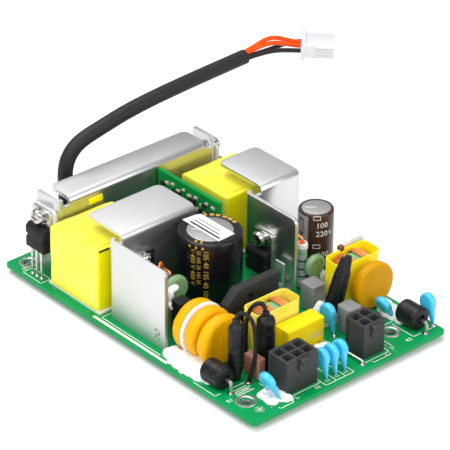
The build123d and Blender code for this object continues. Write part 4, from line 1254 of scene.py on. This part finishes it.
@dataclass
class RoundCans:
    """The electrolytic capacitors with their sleeves, prints and tops."""

    bench: Workbench
    main: Can = Can(38.8, 66.9, 11.3, 30.0, 8.1)
    small: Can = Can(79.0, 57.0, 6.3, 28.0, 5.2, rim=0.9)
    turns: int = 96
    rim_marks: tuple[Number2, ...] = (
        (50.0, 41.0), (37.0, 28.0), (23.0, 12.0), (9.0, -2.0), (-6.0, -15.0), (62.0, 56.0), (-146.0, -151.0),
        (-158.0, -163.0))
    label: tuple[Number2, ...] = ((-3.5, -8.3), (4.1, -8.1), (4.1, 9.4), (2.6, 10.2), (-3.3, 10.8))

    def patch(self, can: Can, degrees: Number2, heights: Number2, out: float = 0.04,
              name: str = "patch") -> Piece:
        """A thin print that follows the can's side.

        Args:
            can: the can.
            degrees: its first and last turn.
            heights: its lowest and highest height.
            out: how far it stands out, in millimetres.
            name: its name.

        Returns:
            The print.
        """
        (first, last), (low, high) = degrees, heights
        steps = max(2, int(abs(last - first) / 4))
        angles = [first + (last - first) * step / steps for step in range(steps + 1)]
        count = len(angles)
        rails = ((low, out), (high, out), (high, -0.1), (low, -0.1))
        points = [can.point(turn, z, reach) for z, reach in rails for turn in angles]
        faces = [tuple(rail * count + end for rail in range(4)) for end in (0, count - 1)]
        for rail in range(4):
            near, far = rail * count, (rail + 1) % 4 * count
            faces += [(near + i, near + i + 1, far + i + 1, far + i) for i in range(count - 1)]
        return smooth(self.bench.shell(name, points, faces), 30.0)

    def wrapped(self, can: Can, words: str, degrees: float, z: float, height: float, run: Run) -> Piece:
        """Plain signs printed on the side of a can.

        Args:
            can: the can.
            words: the signs.
            degrees: the turn of the first sign's corner.
            z: the height of the first sign's foot.
            height: the height of a sign, in millimetres.
            run: the way in which the signs run.

        Returns:
            The print, bent to the can.
        """
        piece = self.bench.signs(words, height, 0.03, 2)
        for vertex in piece.data.vertices:
            flat = vertex.co / MM
            along, rise = (flat.x, flat.y) if run is Run.ROUND else (flat.y, -flat.x)
            vertex.co = can.point(degrees + math.degrees(along / can.radius), z + rise, 0.03 + flat.z)
        return piece

    def disc(self, can: Can) -> Piece:
        """The bare metal end of a can with three pressed vent lines.

        Args:
            can: the can.

        Returns:
            The disc.
        """
        level, reach = can.top - can.sink, can.disc_r * 0.78
        pieces = [self.bench.drum("disc", (can.x, can.y, level + 0.12), can.disc_r - 0.02, 0.24, 0.08,
                                  sides=self.turns)]
        start = at(can.x, can.y, level + 0.22)
        for index in range(3):
            turn = math.radians(18.0 + 120.0 * index)
            end = at(can.x + reach * math.cos(turn), can.y + reach * math.sin(turn), level + 0.22)
            pieces.append(self.bench.tube([start, (start + end) / 2, end], 0.14, 2))
        return join("disc", pieces)

    def main_prints(self) -> None:
        """Gold signs down the black sleeve and round its shoulder, and the white label on top."""
        can = self.main
        signs = [self.wrapped(can, words, degrees, z, height, Run.DOWN) for degrees, words, height, z in
                 ((-142.0, "105 40 105 40 105", 1.9, 27.9), (-154.0, "25 105 25 105 25", 1.4, 27.6),
                  (-166.0, "V 400 V 400 V", 1.8, 27.9))]
        signs += [self.patch(can, (degrees, degrees + 4.5), (can.top - 1.9, can.top - 1.0))
                  for degrees in (-146.0, -158.0, -171.0)]
        for start, end in self.rim_marks:
            places = ((-2.3, start), (-1.0, start), (-1.0, end), (-2.3, end))
            outline = [can.point(turn, can.top, out) for out, turn in places]
            signs.append(self.bench.plate("rim_mark", outline))
        self.bench.hand_over(join("gold_can_prints", signs), Look.PRINT_GOLD)
        z = can.top + 0.06
        corners = [at(can.x + x, can.y + y, z) for x, y in self.label]
        self.bench.hand_over(self.bench.plate("white_can_label", corners, thickness=0.08), Look.LABEL)
        ticks = []
        for index, (reach, width) in enumerate(((15.0, 0.9), (13.0, 0.5), (11.4, 0.35))):
            start = at(can.x - 2.0 + 1.7 * index, can.y + 7.6, z + 0.08)
            way = FRONT * reach * MM
            ticks += [self.bench.ribbon([start + way * share, start + way * (share + 0.075)], width, 0.02)
                      for share in (part / 9 for part in range(9))]
        self.bench.hand_over(join("label_ticks", ticks), Look.PRINT_DARK)

    def small_prints(self) -> None:
        """The grey stripe with dark dashes, and plain numbers in pale print."""
        can = self.small
        for name, degrees, heights, out, finish in (
                ("grey_stripe", (-221.0, -158.0), (can.foot + 5.2, can.top - can.rim), 0.05, Look.STRIPE),
                ("dash", (-194.0, -176.0), (19.4, 25.8), 0.09, Look.CAN_BROWN),
                ("filling", (-191.0, -179.0), (20.2, 25.0), 0.13, Look.STRIPE)):
            self.bench.hand_over(self.patch(can, degrees, heights, out, name), finish)
        signs = [self.wrapped(can, words, degrees, z, height, Run.ROUND) for words, degrees, z, height in
                 (("100", -133.0, 22.9, 2.2), ("220", -133.0, 19.6, 2.2), ("V", -89.0, 19.6, 1.7),
                  ("100", -128.0, 11.2, 2.2))]
        for low, high in ((26.1, 27.7), (14.8, 16.4)):
            signs += [self.patch(can, (turn, turn + 1.8), (low, high), 0.06) for turn in (-142.0, -119.5)]
            signs += [self.patch(can, (-142.0, -117.7), (edge, edge + 0.2), 0.06)
                      for edge in (low, high - 0.2)]
        self.bench.hand_over(join("pale_can_numbers", signs), Look.PRINT_WHITE)

    def build(self) -> None:
        """Both cans."""
        for can, name, node, finish in ((self.main, "main_can", "main_capacitor", Look.CAN_BLACK),
                                        (self.small, "small_can", "small_capacitor", Look.CAN_BROWN)):
            sleeve = self.bench.turned(name, can.x, can.y, can.profile(), self.turns)
            self.bench.hand_over(sleeve, finish, node)
        discs = join("vent_discs", [self.disc(self.main), self.disc(self.small)])
        self.bench.hand_over(discs, Look.DISC_METAL, "capacitor_discs")
        self.main_prints()
        self.small_prints()


@dataclass
class MainsFilter:
    """The surge discs, arresters, fuses and small capacitors at the front edge."""

    bench: Workbench
    blue_r: float = 3.4
    blue_t: float = 2.7
    blue_gap: float = 7.0
    blue_row: tuple[tuple[float, ...], ...] = tuple(
        (35.4 + 4.15 * index, 3.6, 8.6, 0.0, -5.0) for index in range(3))
    blue_places: tuple[tuple[float, ...], ...] = (
        (15.6, 4.2, 8.8, 6.0, 20.0), (55.6, 21.6, 9.6, 0.0, 0.0), (85.9, 4.6, 9.4, 0.0, -3.0),
        (79.2, 16.8, 6.6, 0.0, 24.0))
    green_places: tuple[Number4, ...] = ((70.6, 46.6, 11.6, 4.2), (20.0, 61.6, 15.2, 5.2))
    disc_x: float = 15.2
    disc_y: float = 34.2
    disc_pitch: float = 6.3
    disc_z: float = 11.0
    disc_r: float = 9.3
    disc_t: float = 5.0
    loops: tuple[tuple[Number3, ...], ...] = (
        ((12.7, 23.6, 24.0), (12.8, 23.5, 27.4), (14.8, 21.4, 27.4), (17.2, 19.5, 23.5), (17.4, 18.8, 12.0),
         (15.6, 19.0, 5.0), (14.6, 19.2, 1.6)),
        ((24.6, 22.2, 23.0), (24.4, 22.6, 26.6), (22.4, 24.6, 27.0), (20.4, 26.6, 23.4), (20.0, 27.4, 14.0),
         (20.6, 27.2, 1.6)))
    loop_r: float = 0.75
    leaning_foot: Number3 = (60.2, 29.4, 2.0)
    leaning_head: Number3 = (66.9, 28.6, 25.4)
    leaning_runs: tuple[Number4, ...] = ((0.0, 0.3, 1.7, 2.2), (0.3, 0.75, 2.2, 2.0), (0.75, 1.0, 2.0, 1.1))
    lumps: tuple[tuple[float, ...], ...] = (
        (15.4, 7.6, 1.5, 4.6, 3.6, 1.3), (13.0, 6.0, 1.6, 2.4, 2.6, 1.5), (17.6, 6.4, 1.6, 2.6, 2.2, 1.6),
        (12.6, 9.8, 1.6, 1.8, 2.2, 1.3), (18.2, 9.4, 1.6, 1.9, 1.8, 1.5), (15.2, 11.0, 1.6, 2.0, 1.8, 1.6),
        (83.0, 24.6, 2.0, 2.0, 2.6, 1.9), (81.6, 21.2, 2.2, 2.2, 2.6, 2.2), (80.6, 17.6, 2.0, 2.1, 2.6, 2.0),
        (79.0, 14.4, 1.9, 1.8, 2.4, 1.7), (57.6, 31.4, 4.6, 3.2, 2.0, 5.6), (60.8, 31.2, 3.6, 2.8, 2.0, 4.4),
        (64.4, 34.6, 3.0, 2.6, 2.4, 3.6), (44.6, 18.4, 2.6, 1.7, 1.7, 2.0), (76.0, 50.6, 3.6, 2.4, 2.0, 3.2),
        (71.6, 39.6, 1.8, 1.6, 4.2, 1.5), (11.4, 30.8, 2.2, 2.3, 1.8, 1.6), (8.0, 48.8, 2.0, 2.6, 3.0, 1.7),
        (6.2, 44.4, 2.2, 2.8, 2.6, 1.9), (7.2, 40.4, 2.4, 2.6, 2.8, 2.0), (5.4, 37.2, 2.0, 2.8, 2.4, 1.7),
        (6.2, 33.4, 2.2, 2.6, 2.6, 1.9), (3.6, 31.4, 1.8, 2.2, 2.0, 1.2), (3.6, 41.6, 1.8, 2.0, 2.4, 1.2),
        (8.6, 31.4, 2.0, 2.2, 2.0, 1.6))
    streak: tuple[tuple[float, ...], ...] = (
        (17.6, 61.3, 17.2, 2.2, 1.6, 1.2), (15.4, 60.6, 15.4, 1.4, 1.5, 2.6),
        (14.6, 58.4, 12.6, 1.3, 2.4, 1.4))

    def round_disc(self, middle: Number3, radius: float, thick: float, edge: float) -> Piece:
        """One dipped disc with a flat middle and a full round rim.

        Args:
            middle: its middle, in board millimetres.
            radius: its radius, in millimetres.
            thick: its thickness, in millimetres.
            edge: the rounding of its rim, in millimetres.

        Returns:
            The disc.
        """
        disc = self.bench.drum("disc", middle, radius, thick, edge, ON_EDGE, 6)
        return skinned(disc, 0.35, 6, Ripple(0.45, 4.0, 0.55))

    def discs(self) -> None:
        """The dipped discs, and the pale spacer between two of them."""
        bench = self.bench
        golden = [self.round_disc((self.disc_x, self.disc_y + self.disc_pitch * index, self.disc_z),
                                  self.disc_r, self.disc_t, 2.0) for index in range(3)]
        bench.hand_over(join("golden_surge_discs", golden), Look.GOLD, "surge_discs")
        middle = (self.disc_x, self.disc_y + 1.5 * self.disc_pitch, self.disc_z)
        spacer = bench.drum("white_disc_spacer", middle, self.disc_r + 0.15, 1.3, 0.4, ON_EDGE)
        bench.hand_over(spacer, Look.WHITE, "surge_disc_spacer")
        inrush = join("ochre_disc", [self.round_disc((78.3, 27.1, 10.6), 8.7, 3.6, 1.0)])
        bench.hand_over(inrush, Look.OCHRE, "inrush_disc")

    def teardrop(self, x: float, front_y: float, head_z: float, lean: float, roll: float) -> list[Piece]:
        """The loose forms of one small coated capacitor: a disc and two coated legs.

        Args:
            x: its middle, in board millimetres.
            front_y: its front leg, in board millimetres.
            head_z: the height of the disc's middle.
            lean: its turn about X, in degrees.
            roll: its turn about Y, in degrees.

        Returns:
            The forms.
        """
        middle_y = front_y + self.blue_gap / 2
        parts = [self.bench.drum("head", (x, middle_y, head_z), self.blue_r, self.blue_t, 1.0,
                                 (0.0, math.pi / 2, 0.0), 4, 40)]
        for side, wide in ((-1, 0.7), (1, 0.5)):
            foot = at(x, middle_y + side * self.blue_gap / 2, BOARD_TOP)
            head = at(x, middle_y + side * self.blue_r * 0.3, head_z - self.blue_r * 0.15)
            deselect()
            bpy.ops.mesh.primitive_cone_add(vertices=24, radius1=0.42 * MM, radius2=self.blue_r * wide * MM,
                                            depth=(head - foot).length)
            parts.append(added("leg", (0.6, 1.0, 1.0)))
            turn = (head - foot).to_track_quat("Z", "X").to_matrix().to_4x4()
            flat = Matrix.Rotation(math.pi / 2, 4, "Z")
            parts[-1].data.transform(Matrix.Translation((head + foot) / 2) @ turn @ flat)
        pivot = at(x, middle_y, BOARD_TOP)
        turn = Euler((math.radians(-lean), math.radians(-roll), 0.0)).to_matrix().to_4x4()
        for part in parts:
            part.data.transform(Matrix.Translation(pivot) @ turn @ Matrix.Translation(-pivot))
        return parts

    def leaves(self) -> list[Piece]:
        """The loose forms of the green pair: a disc and two legs each.

        Returns:
            The forms.
        """
        forms = []
        for x, y, z, radius in self.green_places:
            forms.append(self.bench.drum("leaf", (x, y + 1.5, z), radius, 3.0, 1.3, ON_EDGE, 5, 48))
            for side in (-1, 1):
                foot, head = [at(x + side * radius * 0.5, y + 1.5, height) for height in (BOARD_TOP, z - 2.0)]
                forms.append(self.bench.tube([foot, (foot + head) / 2, head], 0.5))
        return forms

    def small_capacitors(self) -> None:
        """The row of three blue capacitors, four single ones, and the green pair."""
        row, singles = [[part for place in places for part in self.teardrop(*place)]
                        for places in (self.blue_row, self.blue_places)]
        for forms, name, node, finish in (
                (row, "blue_row", "blue_capacitor_row", Look.BLUE),
                (singles, "blue_singles", "blue_capacitors", Look.BLUE),
                (self.leaves(), "green_coated_pair", "green_capacitors", Look.GREEN)):
            self.bench.hand_over(skinned(join(name, forms), 0.2, 6), finish, node)

    def leaning_pair(self) -> None:
        """Two sleeved legs that lean together to one crimped point."""
        foot, head = at(*self.leaning_foot), at(*self.leaning_head)
        legs = []
        for side in (-1, 1):
            for low, high, thick_low, thick_high in self.leaning_runs:
                start, end = [
                    foot.lerp(head, share) + Vector((side * 2.0 * (1.0 - 0.5 * share), 0.0, 0.0)) * MM
                    for share in (low, high)]
                legs.append(self.bench.cone(start, end, thick_low, thick_high, 0.3))
        piece = skinned(join("leaning_shrunk_fuse", legs), 0.2, 3, Ripple(0.4, 2.4))
        self.bench.hand_over(piece, Look.SHRINK, "leaning_sleeved_fuse")

    def build(self) -> None:
        """Every part of the filter."""
        bench = self.bench
        self.discs()
        bench.melted("arrester_sleeves", "shrunk_arresters", 0.28, 4, Look.SHRINK, Ripple(0.25, 2.0))
        for side in ("left", "right"):
            bench.melted(f"{side}_fuse_sleeve", f"{side}_shrunk_fuse", 0.25, 5, Look.SHRINK, Ripple(0.5, 2.2))
        leads = [bench.tube([at(*place) for place in line], self.loop_r) for line in self.loops]
        bench.hand_over(join("sleeved_return_leads", leads), Look.SHRINK, "fuse_return_leads")
        self.leaning_pair()
        bench.softened("film_capacitor", "yellow_film_box", 0.25, Look.BOX_YELLOW, 3)
        ticks = [bench.mark(at(44.0 + 0.8 * column, 20.6, 5.6 + 1.5 * row), Vector((0.5, 0.0, 0.0)),
                            0.9, FRONT)
                 for row in range(2) for column in range(6)]
        bench.hand_over(join("film_box_print", ticks), Look.CHIP_CREAM)
        for node, name, finish in (("pink_film_capacitor", "pink_film_box", Look.BOX_PINK),
                                   ("rear_grey_film_capacitor", "rear_grey_box", Look.BOX_GREY),
                                   ("front_grey_film_capacitor", "front_grey_box", Look.BOX_GREY),
                                   ("dark_film_capacitor", "dark_film_box", Look.MOULDED)):
            bench.softened(node, name, 0.2, finish)
        self.small_capacitors()
        bench.hand_over(bench.blob("silicone_lumps", self.lumps), Look.SILICONE)
        bench.hand_over(bench.blob("silicone_streak", self.streak, 0.5), Look.SILICONE)
        bench.dress(Look.TIN, "arrester_leads", "disc_legs")


@dataclass
class BandedResistors:
    """The two resistors on end: swollen ends, colour bands and a copper wire."""

    bench: Workbench
    front: Number4 = (68.0, 51.8, 1.95, 20.6)
    rear: Number4 = (19.6, 69.0, 2.6, 19.6)
    foot: float = 2.6
    white: Number3 = (0.8, 0.8, 0.78)
    green: Number3 = (0.12, 0.42, 0.16)
    dark: Number3 = (0.012, 0.012, 0.014)
    red: Number3 = (0.55, 0.06, 0.01)

    def body(self, place: Number4, finish: Finish, name: str) -> Piece:
        """One turned body with soft swollen ends.

        Args:
            place: its axis, radius and top, in board millimetres.
            finish: its finish.
            name: its name.

        Returns:
            The body.
        """
        x, y, radius, top = place
        forms = [self.bench.drum("barrel", (x, y, (top + self.foot) / 2), radius - 0.3,
                                 top - self.foot - 0.2, 0.3, sides=40)]
        forms += [self.bench.drum("end", (x, y, middle), radius, 3.6, 1.1, segments=5, sides=40)
                  for middle in (self.foot + 1.8, top - 1.8)]
        return self.bench.hand_over(skinned(join(name, forms), 0.2, 5), finish, "banded_resistors")

    def build(self) -> None:
        """Both bodies with a band list of their own, the front one's tip and the rear one's wire."""
        tall = Banded("banded_lacquer", (0.36, 0.43, 0.45), (0.44, 0.51, 0.52), 0.28, 500, coat=0.2,
                      bands=((18.4, 21.2, self.white), (15.9, 16.7, self.green), (13.1, 13.7, self.dark),
                             (9.9, 10.5, self.dark), (6.9, 7.5, self.dark)))
        dome = Banded("dome_lacquer", (0.4, 0.47, 0.44), (0.46, 0.53, 0.5), 0.25, 500, coat=0.4,
                      bands=((15.7, 16.3, self.red), (11.0, 12.4, self.dark)))
        self.body(self.front, tall, "tall_banded_resistor")
        self.body(self.rear, dome, "domed_banded_resistor")
        tip = self.bench.blob("resistor_tip", ((67.6, 51.6, 20.4, 1.2, 1.2, 0.7),), 0.2)
        self.bench.hand_over(tip, Look.WIRE_ORANGE)
        hoop = self.bench.tube([at(19.4, 69.0, 19.0), at(19.4, 69.0, 23.0), at(17.6, 68.0, 24.6),
                                at(15.8, 67.0, 22.6), at(15.6, 66.8, 12.0)], 0.45)
        self.bench.hand_over(join("bent_copper_wire", [hoop]), Look.COPPER)


@dataclass
class BoardArt:
    """What is printed, plated or soldered on the board's top."""

    bench: Workbench
    line: float = 0.28
    bar: float = 0.22
    sign_t: float = 0.04
    holes: tuple[Number2, ...] = ((6.5, 11.4), (71.9, 11.4), (6.5, 127.0), (71.9, 127.0))
    ring_line: tuple[Number2, ...] = (
        (1.85, 0.1), (1.85, 0.9), (2.0, 1.25), (2.3, 1.55), (2.75, 1.8), (3.2, 1.88), (3.55, 1.82),
        (3.65, 1.62), (2.9, 1.5), (2.2, 1.0), (2.05, 0.1), (1.85, 0.1))
    outlines: tuple[tuple[Number2, ...], ...] = (
        ((16.9, 16.4), (16.9, 3.9), (33.0, 3.9)), ((51.9, 15.2), (51.9, 2.9), (63.3, 2.9), (63.3, 15.2)),
        ((54.5, 2.0), (54.7, 1.2), (62.6, 1.2), (62.6, 2.0)),
        ((33.0, 14.6), (33.0, 1.3), (45.7, 1.3), (45.7, 14.6), (33.0, 14.6)),
        ((37.7, 1.3), (37.7, 14.6)), ((41.8, 1.3), (41.8, 14.6)),
        ((0.8, 31.0), (0.8, 20.2), (3.0, 20.2)), ((9.0, 20.2), (14.4, 20.2)),
        ((75.9, 14.4), (75.9, 4.0), (79.4, 4.0)), ((82.0, 4.0), (84.6, 4.0)),
        ((12.3, 1.7), (12.3, 0.9), (18.4, 0.9), (18.4, 1.7)),
        ((0.9, 123.2), (0.9, 113.0), (5.2, 113.0), (5.2, 123.2), (0.9, 123.2)),
        ((51.2, 17.6), (51.2, 28.6), (57.4, 28.6)), ((66.4, 5.0), (66.4, 15.8), (77.0, 15.8)),
        ((25.6, 17.2), (33.0, 17.2), (33.0, 28.0)), ((3.0, 51.0), (3.0, 82.0), (30.0, 82.0)),
        ((85.2, 31.0), (85.2, 40.0), (70.0, 40.0)), ((60.0, 112.2), (60.0, 130.6), (86.0, 130.6)))
    earth: Number2 = (6.8, 5.0)
    earth_r: float = 1.5
    earth_bars: tuple[tuple[Number2, ...], ...] = (
        ((5.8, 5.2), (7.8, 5.2)), ((6.2, 4.7), (7.4, 4.7)), ((6.55, 4.25), (7.05, 4.25)),
        ((6.8, 5.2), (6.8, 6.2)))
    runs: tuple[tuple[Number2, ...], ...] = (
        ((3.2, 46.0), (3.2, 100.0), (5.6, 106.0)), ((4.6, 84.0), (4.6, 100.0)), ((64.8, 1.0), (64.8, 16.6)),
        ((70.0, 17.4), (58.0, 17.4)), ((2.4, 20.8), (2.4, 33.0)), ((34.4, 17.9), (47.0, 17.9)),
        ((83.6, 6.0), (83.6, 16.0), (86.0, 20.0), (86.0, 46.0)))
    pads: tuple[Number3, ...] = (
        (5.9, 18.2, 1.25), (80.6, 2.8, 1.25), (50.9, 2.8, 1.2), (50.9, 15.0, 1.2), (15.6, 4.2, 1.0),
        (15.6, 11.2, 1.0), (55.6, 21.6, 1.05), (55.6, 28.6, 1.05), (85.9, 4.6, 1.0), (85.9, 11.6, 1.0),
        (79.2, 16.8, 1.0), (79.2, 23.8, 1.0), (14.6, 19.2, 1.3), (3.2, 120.54, 0.95), (3.2, 118.0, 0.95),
        (3.2, 115.46, 0.95), (84.9, 118.0, 0.95))
    vias: tuple[Number2, ...] = (
        (10.5, 3.4), (10.0, 1.2), (12.0, 7.8), (12.8, 9.4), (3.0, 30.4), (2.2, 34.0), (48.2, 8.6),
        (65.0, 9.4), (64.8, 6.2), (76.8, 12.2), (2.6, 107.4), (4.4, 110.0), (85.4, 47.6), (31.0, 19.0),
        (1.8, 88.0))
    signs: tuple[tuple[str, float, float, float], ...] = (
        ("N", 29.0, 1.5, 1.9), ("L", 20.2, 1.5, 1.9), ("F1", 10.4, 16.2, 1.5), ("F2", 26.8, 17.9, 1.4),
        ("C1", 34.4, 2.6, 1.2), ("C2", 38.6, 2.6, 1.2), ("C3", 42.6, 2.6, 1.2), ("R1", 1.5, 14.4, 1.6),
        ("R2", 72.2, 3.0, 1.6), ("J1", 65.0, 3.2, 1.5), ("C4", 52.6, 18.4, 1.3), ("J2", 47.2, 17.0, 1.2),
        ("+", 60.4, 1.3, 1.4), ("Q1", 1.7, 124.2, 1.3), ("L1", 53.2, 26.2, 1.3), ("12", 67.4, 13.2, 1.5))

    def strip(self, points: tuple[Number2, ...], width: float, thickness: float = 0.05) -> Piece:
        """A printed line on the board's top, by its corners."""
        return self.bench.ribbon([at(x, y, BOARD_TOP) for x, y in points], width, thickness)

    def sign(self, words: str, x: float, y: float, height: float) -> Piece:
        """A printed sign on the board's top.

        Args:
            words: the sign.
            x: its lower left corner, in board millimetres.
            y: its lower left corner, in board millimetres.
            height: its height, in millimetres.

        Returns:
            The sign.
        """
        piece = self.bench.signs(words, height, self.sign_t / 2, 3)
        piece.location = at(x, y, BOARD_TOP) + UP * self.sign_t / 2 * MM
        return settle(piece)

    def printed(self) -> None:
        """White outlines, signs and the earth mark."""
        made = [self.strip(points, self.line) for points in self.outlines]
        made.append(self.strip(((1.5, 46.0), (1.5, 84.0)), 1.1))
        ring = [(self.earth[0] + self.earth_r * math.cos(turn), self.earth[1] + self.earth_r * math.sin(turn))
                for turn in (step * math.pi / 12 for step in range(25))]
        made.append(self.strip(tuple(ring), self.line))
        made += [self.strip(bar, self.bar) for bar in self.earth_bars]
        made += [self.sign(*sign) for sign in self.signs]
        made += [self.strip(((6.6, 15.4 + row), (13.4 - 0.9 * (row % 2), 15.4 + row)), 0.36, 0.03)
                 for row in range(4)]
        self.bench.hand_over(join("silk_print", made), Look.SILK)

    def plated(self) -> None:
        """Tinned pads with a small cone of solder, bare vias, and painted shade for the holes of small vias
        round one ring.
        """
        made = []
        for x, y, radius in self.pads:
            made.append(self.bench.drum("pad", (x, y, BOARD_TOP + 0.03), radius, 0.06, sides=28))
            tip = self.bench.cone(at(x, y, BOARD_TOP + 0.03), at(x, y, BOARD_TOP + 0.73), radius * 0.8, 0.35)
            made.append(smooth(tip, 60.0))
        made += [self.bench.drum("via", (x, y, BOARD_TOP + 0.02), 0.42, 0.05, sides=16) for x, y in self.vias]
        self.bench.hand_over(join("pads_and_vias", made), Look.SOLDER)
        # painted shade: dark discs stand in for the shaded holes of the small vias round the rear left ring
        x, y = self.holes[2]
        painted_via_shades = [self.bench.drum("painted_via_shade", (x + 2.85 * math.cos(turn), y + 2.85 * math.sin(turn), 1.84),
                                    0.34, 0.1, sides=12)
                    for turn in (math.radians(22.5 + 45.0 * index) for index in range(8))]
        self.bench.hand_over(join("ring_painted_via_shades", painted_via_shades), Look.PRINT_DARK)

    def build(self) -> None:
        """The dished rings round the holes, the covered tracks, the print and the soldering."""
        rings = [self.bench.turned("ring", x, y, list(self.ring_line)) for x, y in self.holes]
        self.bench.hand_over(join("dished_rings", rings), Look.DULL_TIN, "mounting_rings")
        tracks = [self.strip(run, 0.8, 0.03) for run in self.runs]
        self.bench.hand_over(join("covered_tracks", tracks), Look.TRACK)
        self.printed()
        self.plated()


@dataclass
class BoardWork:
    """The circuit board with its headers, bridge, upright boards and small parts."""

    bench: Workbench
    latch_places: tuple[Number2, ...] = ((25.9, 5.0), (57.8, 4.5))
    latch_line: tuple[Number2, ...] = ((-2.3, 14.1), (2.3, 14.1), (1.3, 10.4), (-1.3, 10.4))
    latch_out: float = 1.9
    latch_foot: float = 0.6
    latch_middle: float = 12.0
    chip_face: float = 52.6
    chip_rows: tuple[Number4, ...] = (
        (81.0, 26.8, 1.5, 0.9), (84.4, 27.0, 1.1, 0.7), (87.0, 25.2, 1.6, 0.9), (90.2, 26.9, 1.3, 0.8),
        (93.6, 26.2, 1.8, 1.0), (96.8, 27.2, 1.1, 0.7), (99.6, 25.6, 1.5, 0.9), (102.6, 27.0, 1.3, 0.8),
        (105.6, 26.4, 1.6, 0.9), (82.4, 23.6, 1.2, 0.8), (85.6, 22.8, 1.1, 0.7), (89.4, 22.6, 2.4, 1.5),
        (95.4, 22.4, 1.2, 0.8), (98.6, 21.8, 2.6, 1.6), (104.0, 23.0, 1.3, 0.8), (80.4, 20.4, 1.2, 0.8))

    def latches(self) -> None:
        """The locking wedge on the front of each header, thick at its top."""
        wedges = []
        for x, y in self.latch_places:
            outline = [at(x + side, y, z) for side, z in self.latch_line]
            wedge = self.bench.plate("latch", outline, FRONT, self.latch_out)
            outer_y, low_z = at(0.0, y - self.latch_out / 2).y, at(0.0, 0.0, self.latch_middle).z
            for corner in wedge.data.vertices:
                if corner.co.y < outer_y and corner.co.z < low_z:
                    corner.co.y = at(0.0, y - self.latch_foot).y
            wedges.append(bevelled(wedge, 0.18))
        self.bench.hand_over(join("header_latches", wedges), Look.NYLON)

    def small_chips(self) -> None:
        """Small parts along the upright board's left face, with pale ends."""
        brick, face = self.bench.brick, self.chip_face
        ends, bodies, marks = [], [], []
        for y, z, wide, high in self.chip_rows:
            low, top = z - high / 2, z + high / 2
            bodies.append(brick("chip", (face - 0.7, y - wide / 2 + 0.3, low),
                                (face, y + wide / 2 - 0.3, top), 0.06))
            for middle in (y - wide / 2 + 0.12, y + wide / 2 - 0.12):
                ends.append(brick("end", (face - 0.66, middle - 0.22, low), (face, middle + 0.22, top), 0.06))
            marks.append(self.bench.mark(at(face, y - wide / 2, low - 0.45), Vector((0.0, wide, 0.0)),
                                         0.2, LEFT, 0.05))
        for name, pieces, finish in (("chip_bodies", bodies, Look.CHIP_CREAM),
                                     ("chip_ends", ends, Look.CHIP_END),
                                     ("upright_board_print", marks, Look.SILK)):
            self.bench.hand_over(join(name, pieces), finish)

    def build(self) -> None:
        """Every part of the board itself."""
        bench = self.bench
        for row in (("circuit_board", "green_board", 0.12, Look.MASK, 1, 60.0),
                    ("six_way_header", "six_way_housing", 0.12, Look.NYLON),
                    ("four_way_header", "four_way_housing", 0.12, Look.NYLON),
                    ("bridge_rectifier", "bridge_case", 0.22, Look.BRIDGE),
                    ("daughter_board", "upright_board", 0.06, Look.DAUGHTER, 1),
                    ("upright_card", "cream_card", 0.12, Look.CARD)):
            bench.softened(*row)
        bench.hand_over(bench.brick("card_end", (75.4, 40.4, 18.6), (77.3, 42.4, 20.4), 0.3), Look.CARD_BROWN)
        bench.melted("silicone_patches", "silicone_beads", 0.3, 5, Look.SILICONE, Ripple(1.3, 2.0))
        bench.dress(Look.TIN, "header_pins", "bridge_rectifier_pins")
        bench.dress(Look.DULL_TIN, "jumper_wire")
        bench.dress(Look.COPPER, "resistor_wires")
        self.latches()
        self.small_chips()
        bench.dress(Look.SOLDER, "solder_joints")
        bench.dress(Look.CHIP, "daughter_board_chips")
        BandedResistors(bench).build()
        BoardArt(bench).build()


def main() -> None:
    """Builds the studio and every sub-assembly in order."""
    logging.basicConfig(level=logging.INFO, format="%(message)s")
    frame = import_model()
    bench = Workbench(frame["nodes"])
    Studio().build()
    for assembly in (SignalCable, BoardWork, MetalWork, WoundParts, RoundCans, MainsFilter):
        assembly(bench).build()
        LOG.info("finished %s", assembly.__name__)
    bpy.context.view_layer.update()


if __name__ == "__main__":
    main()
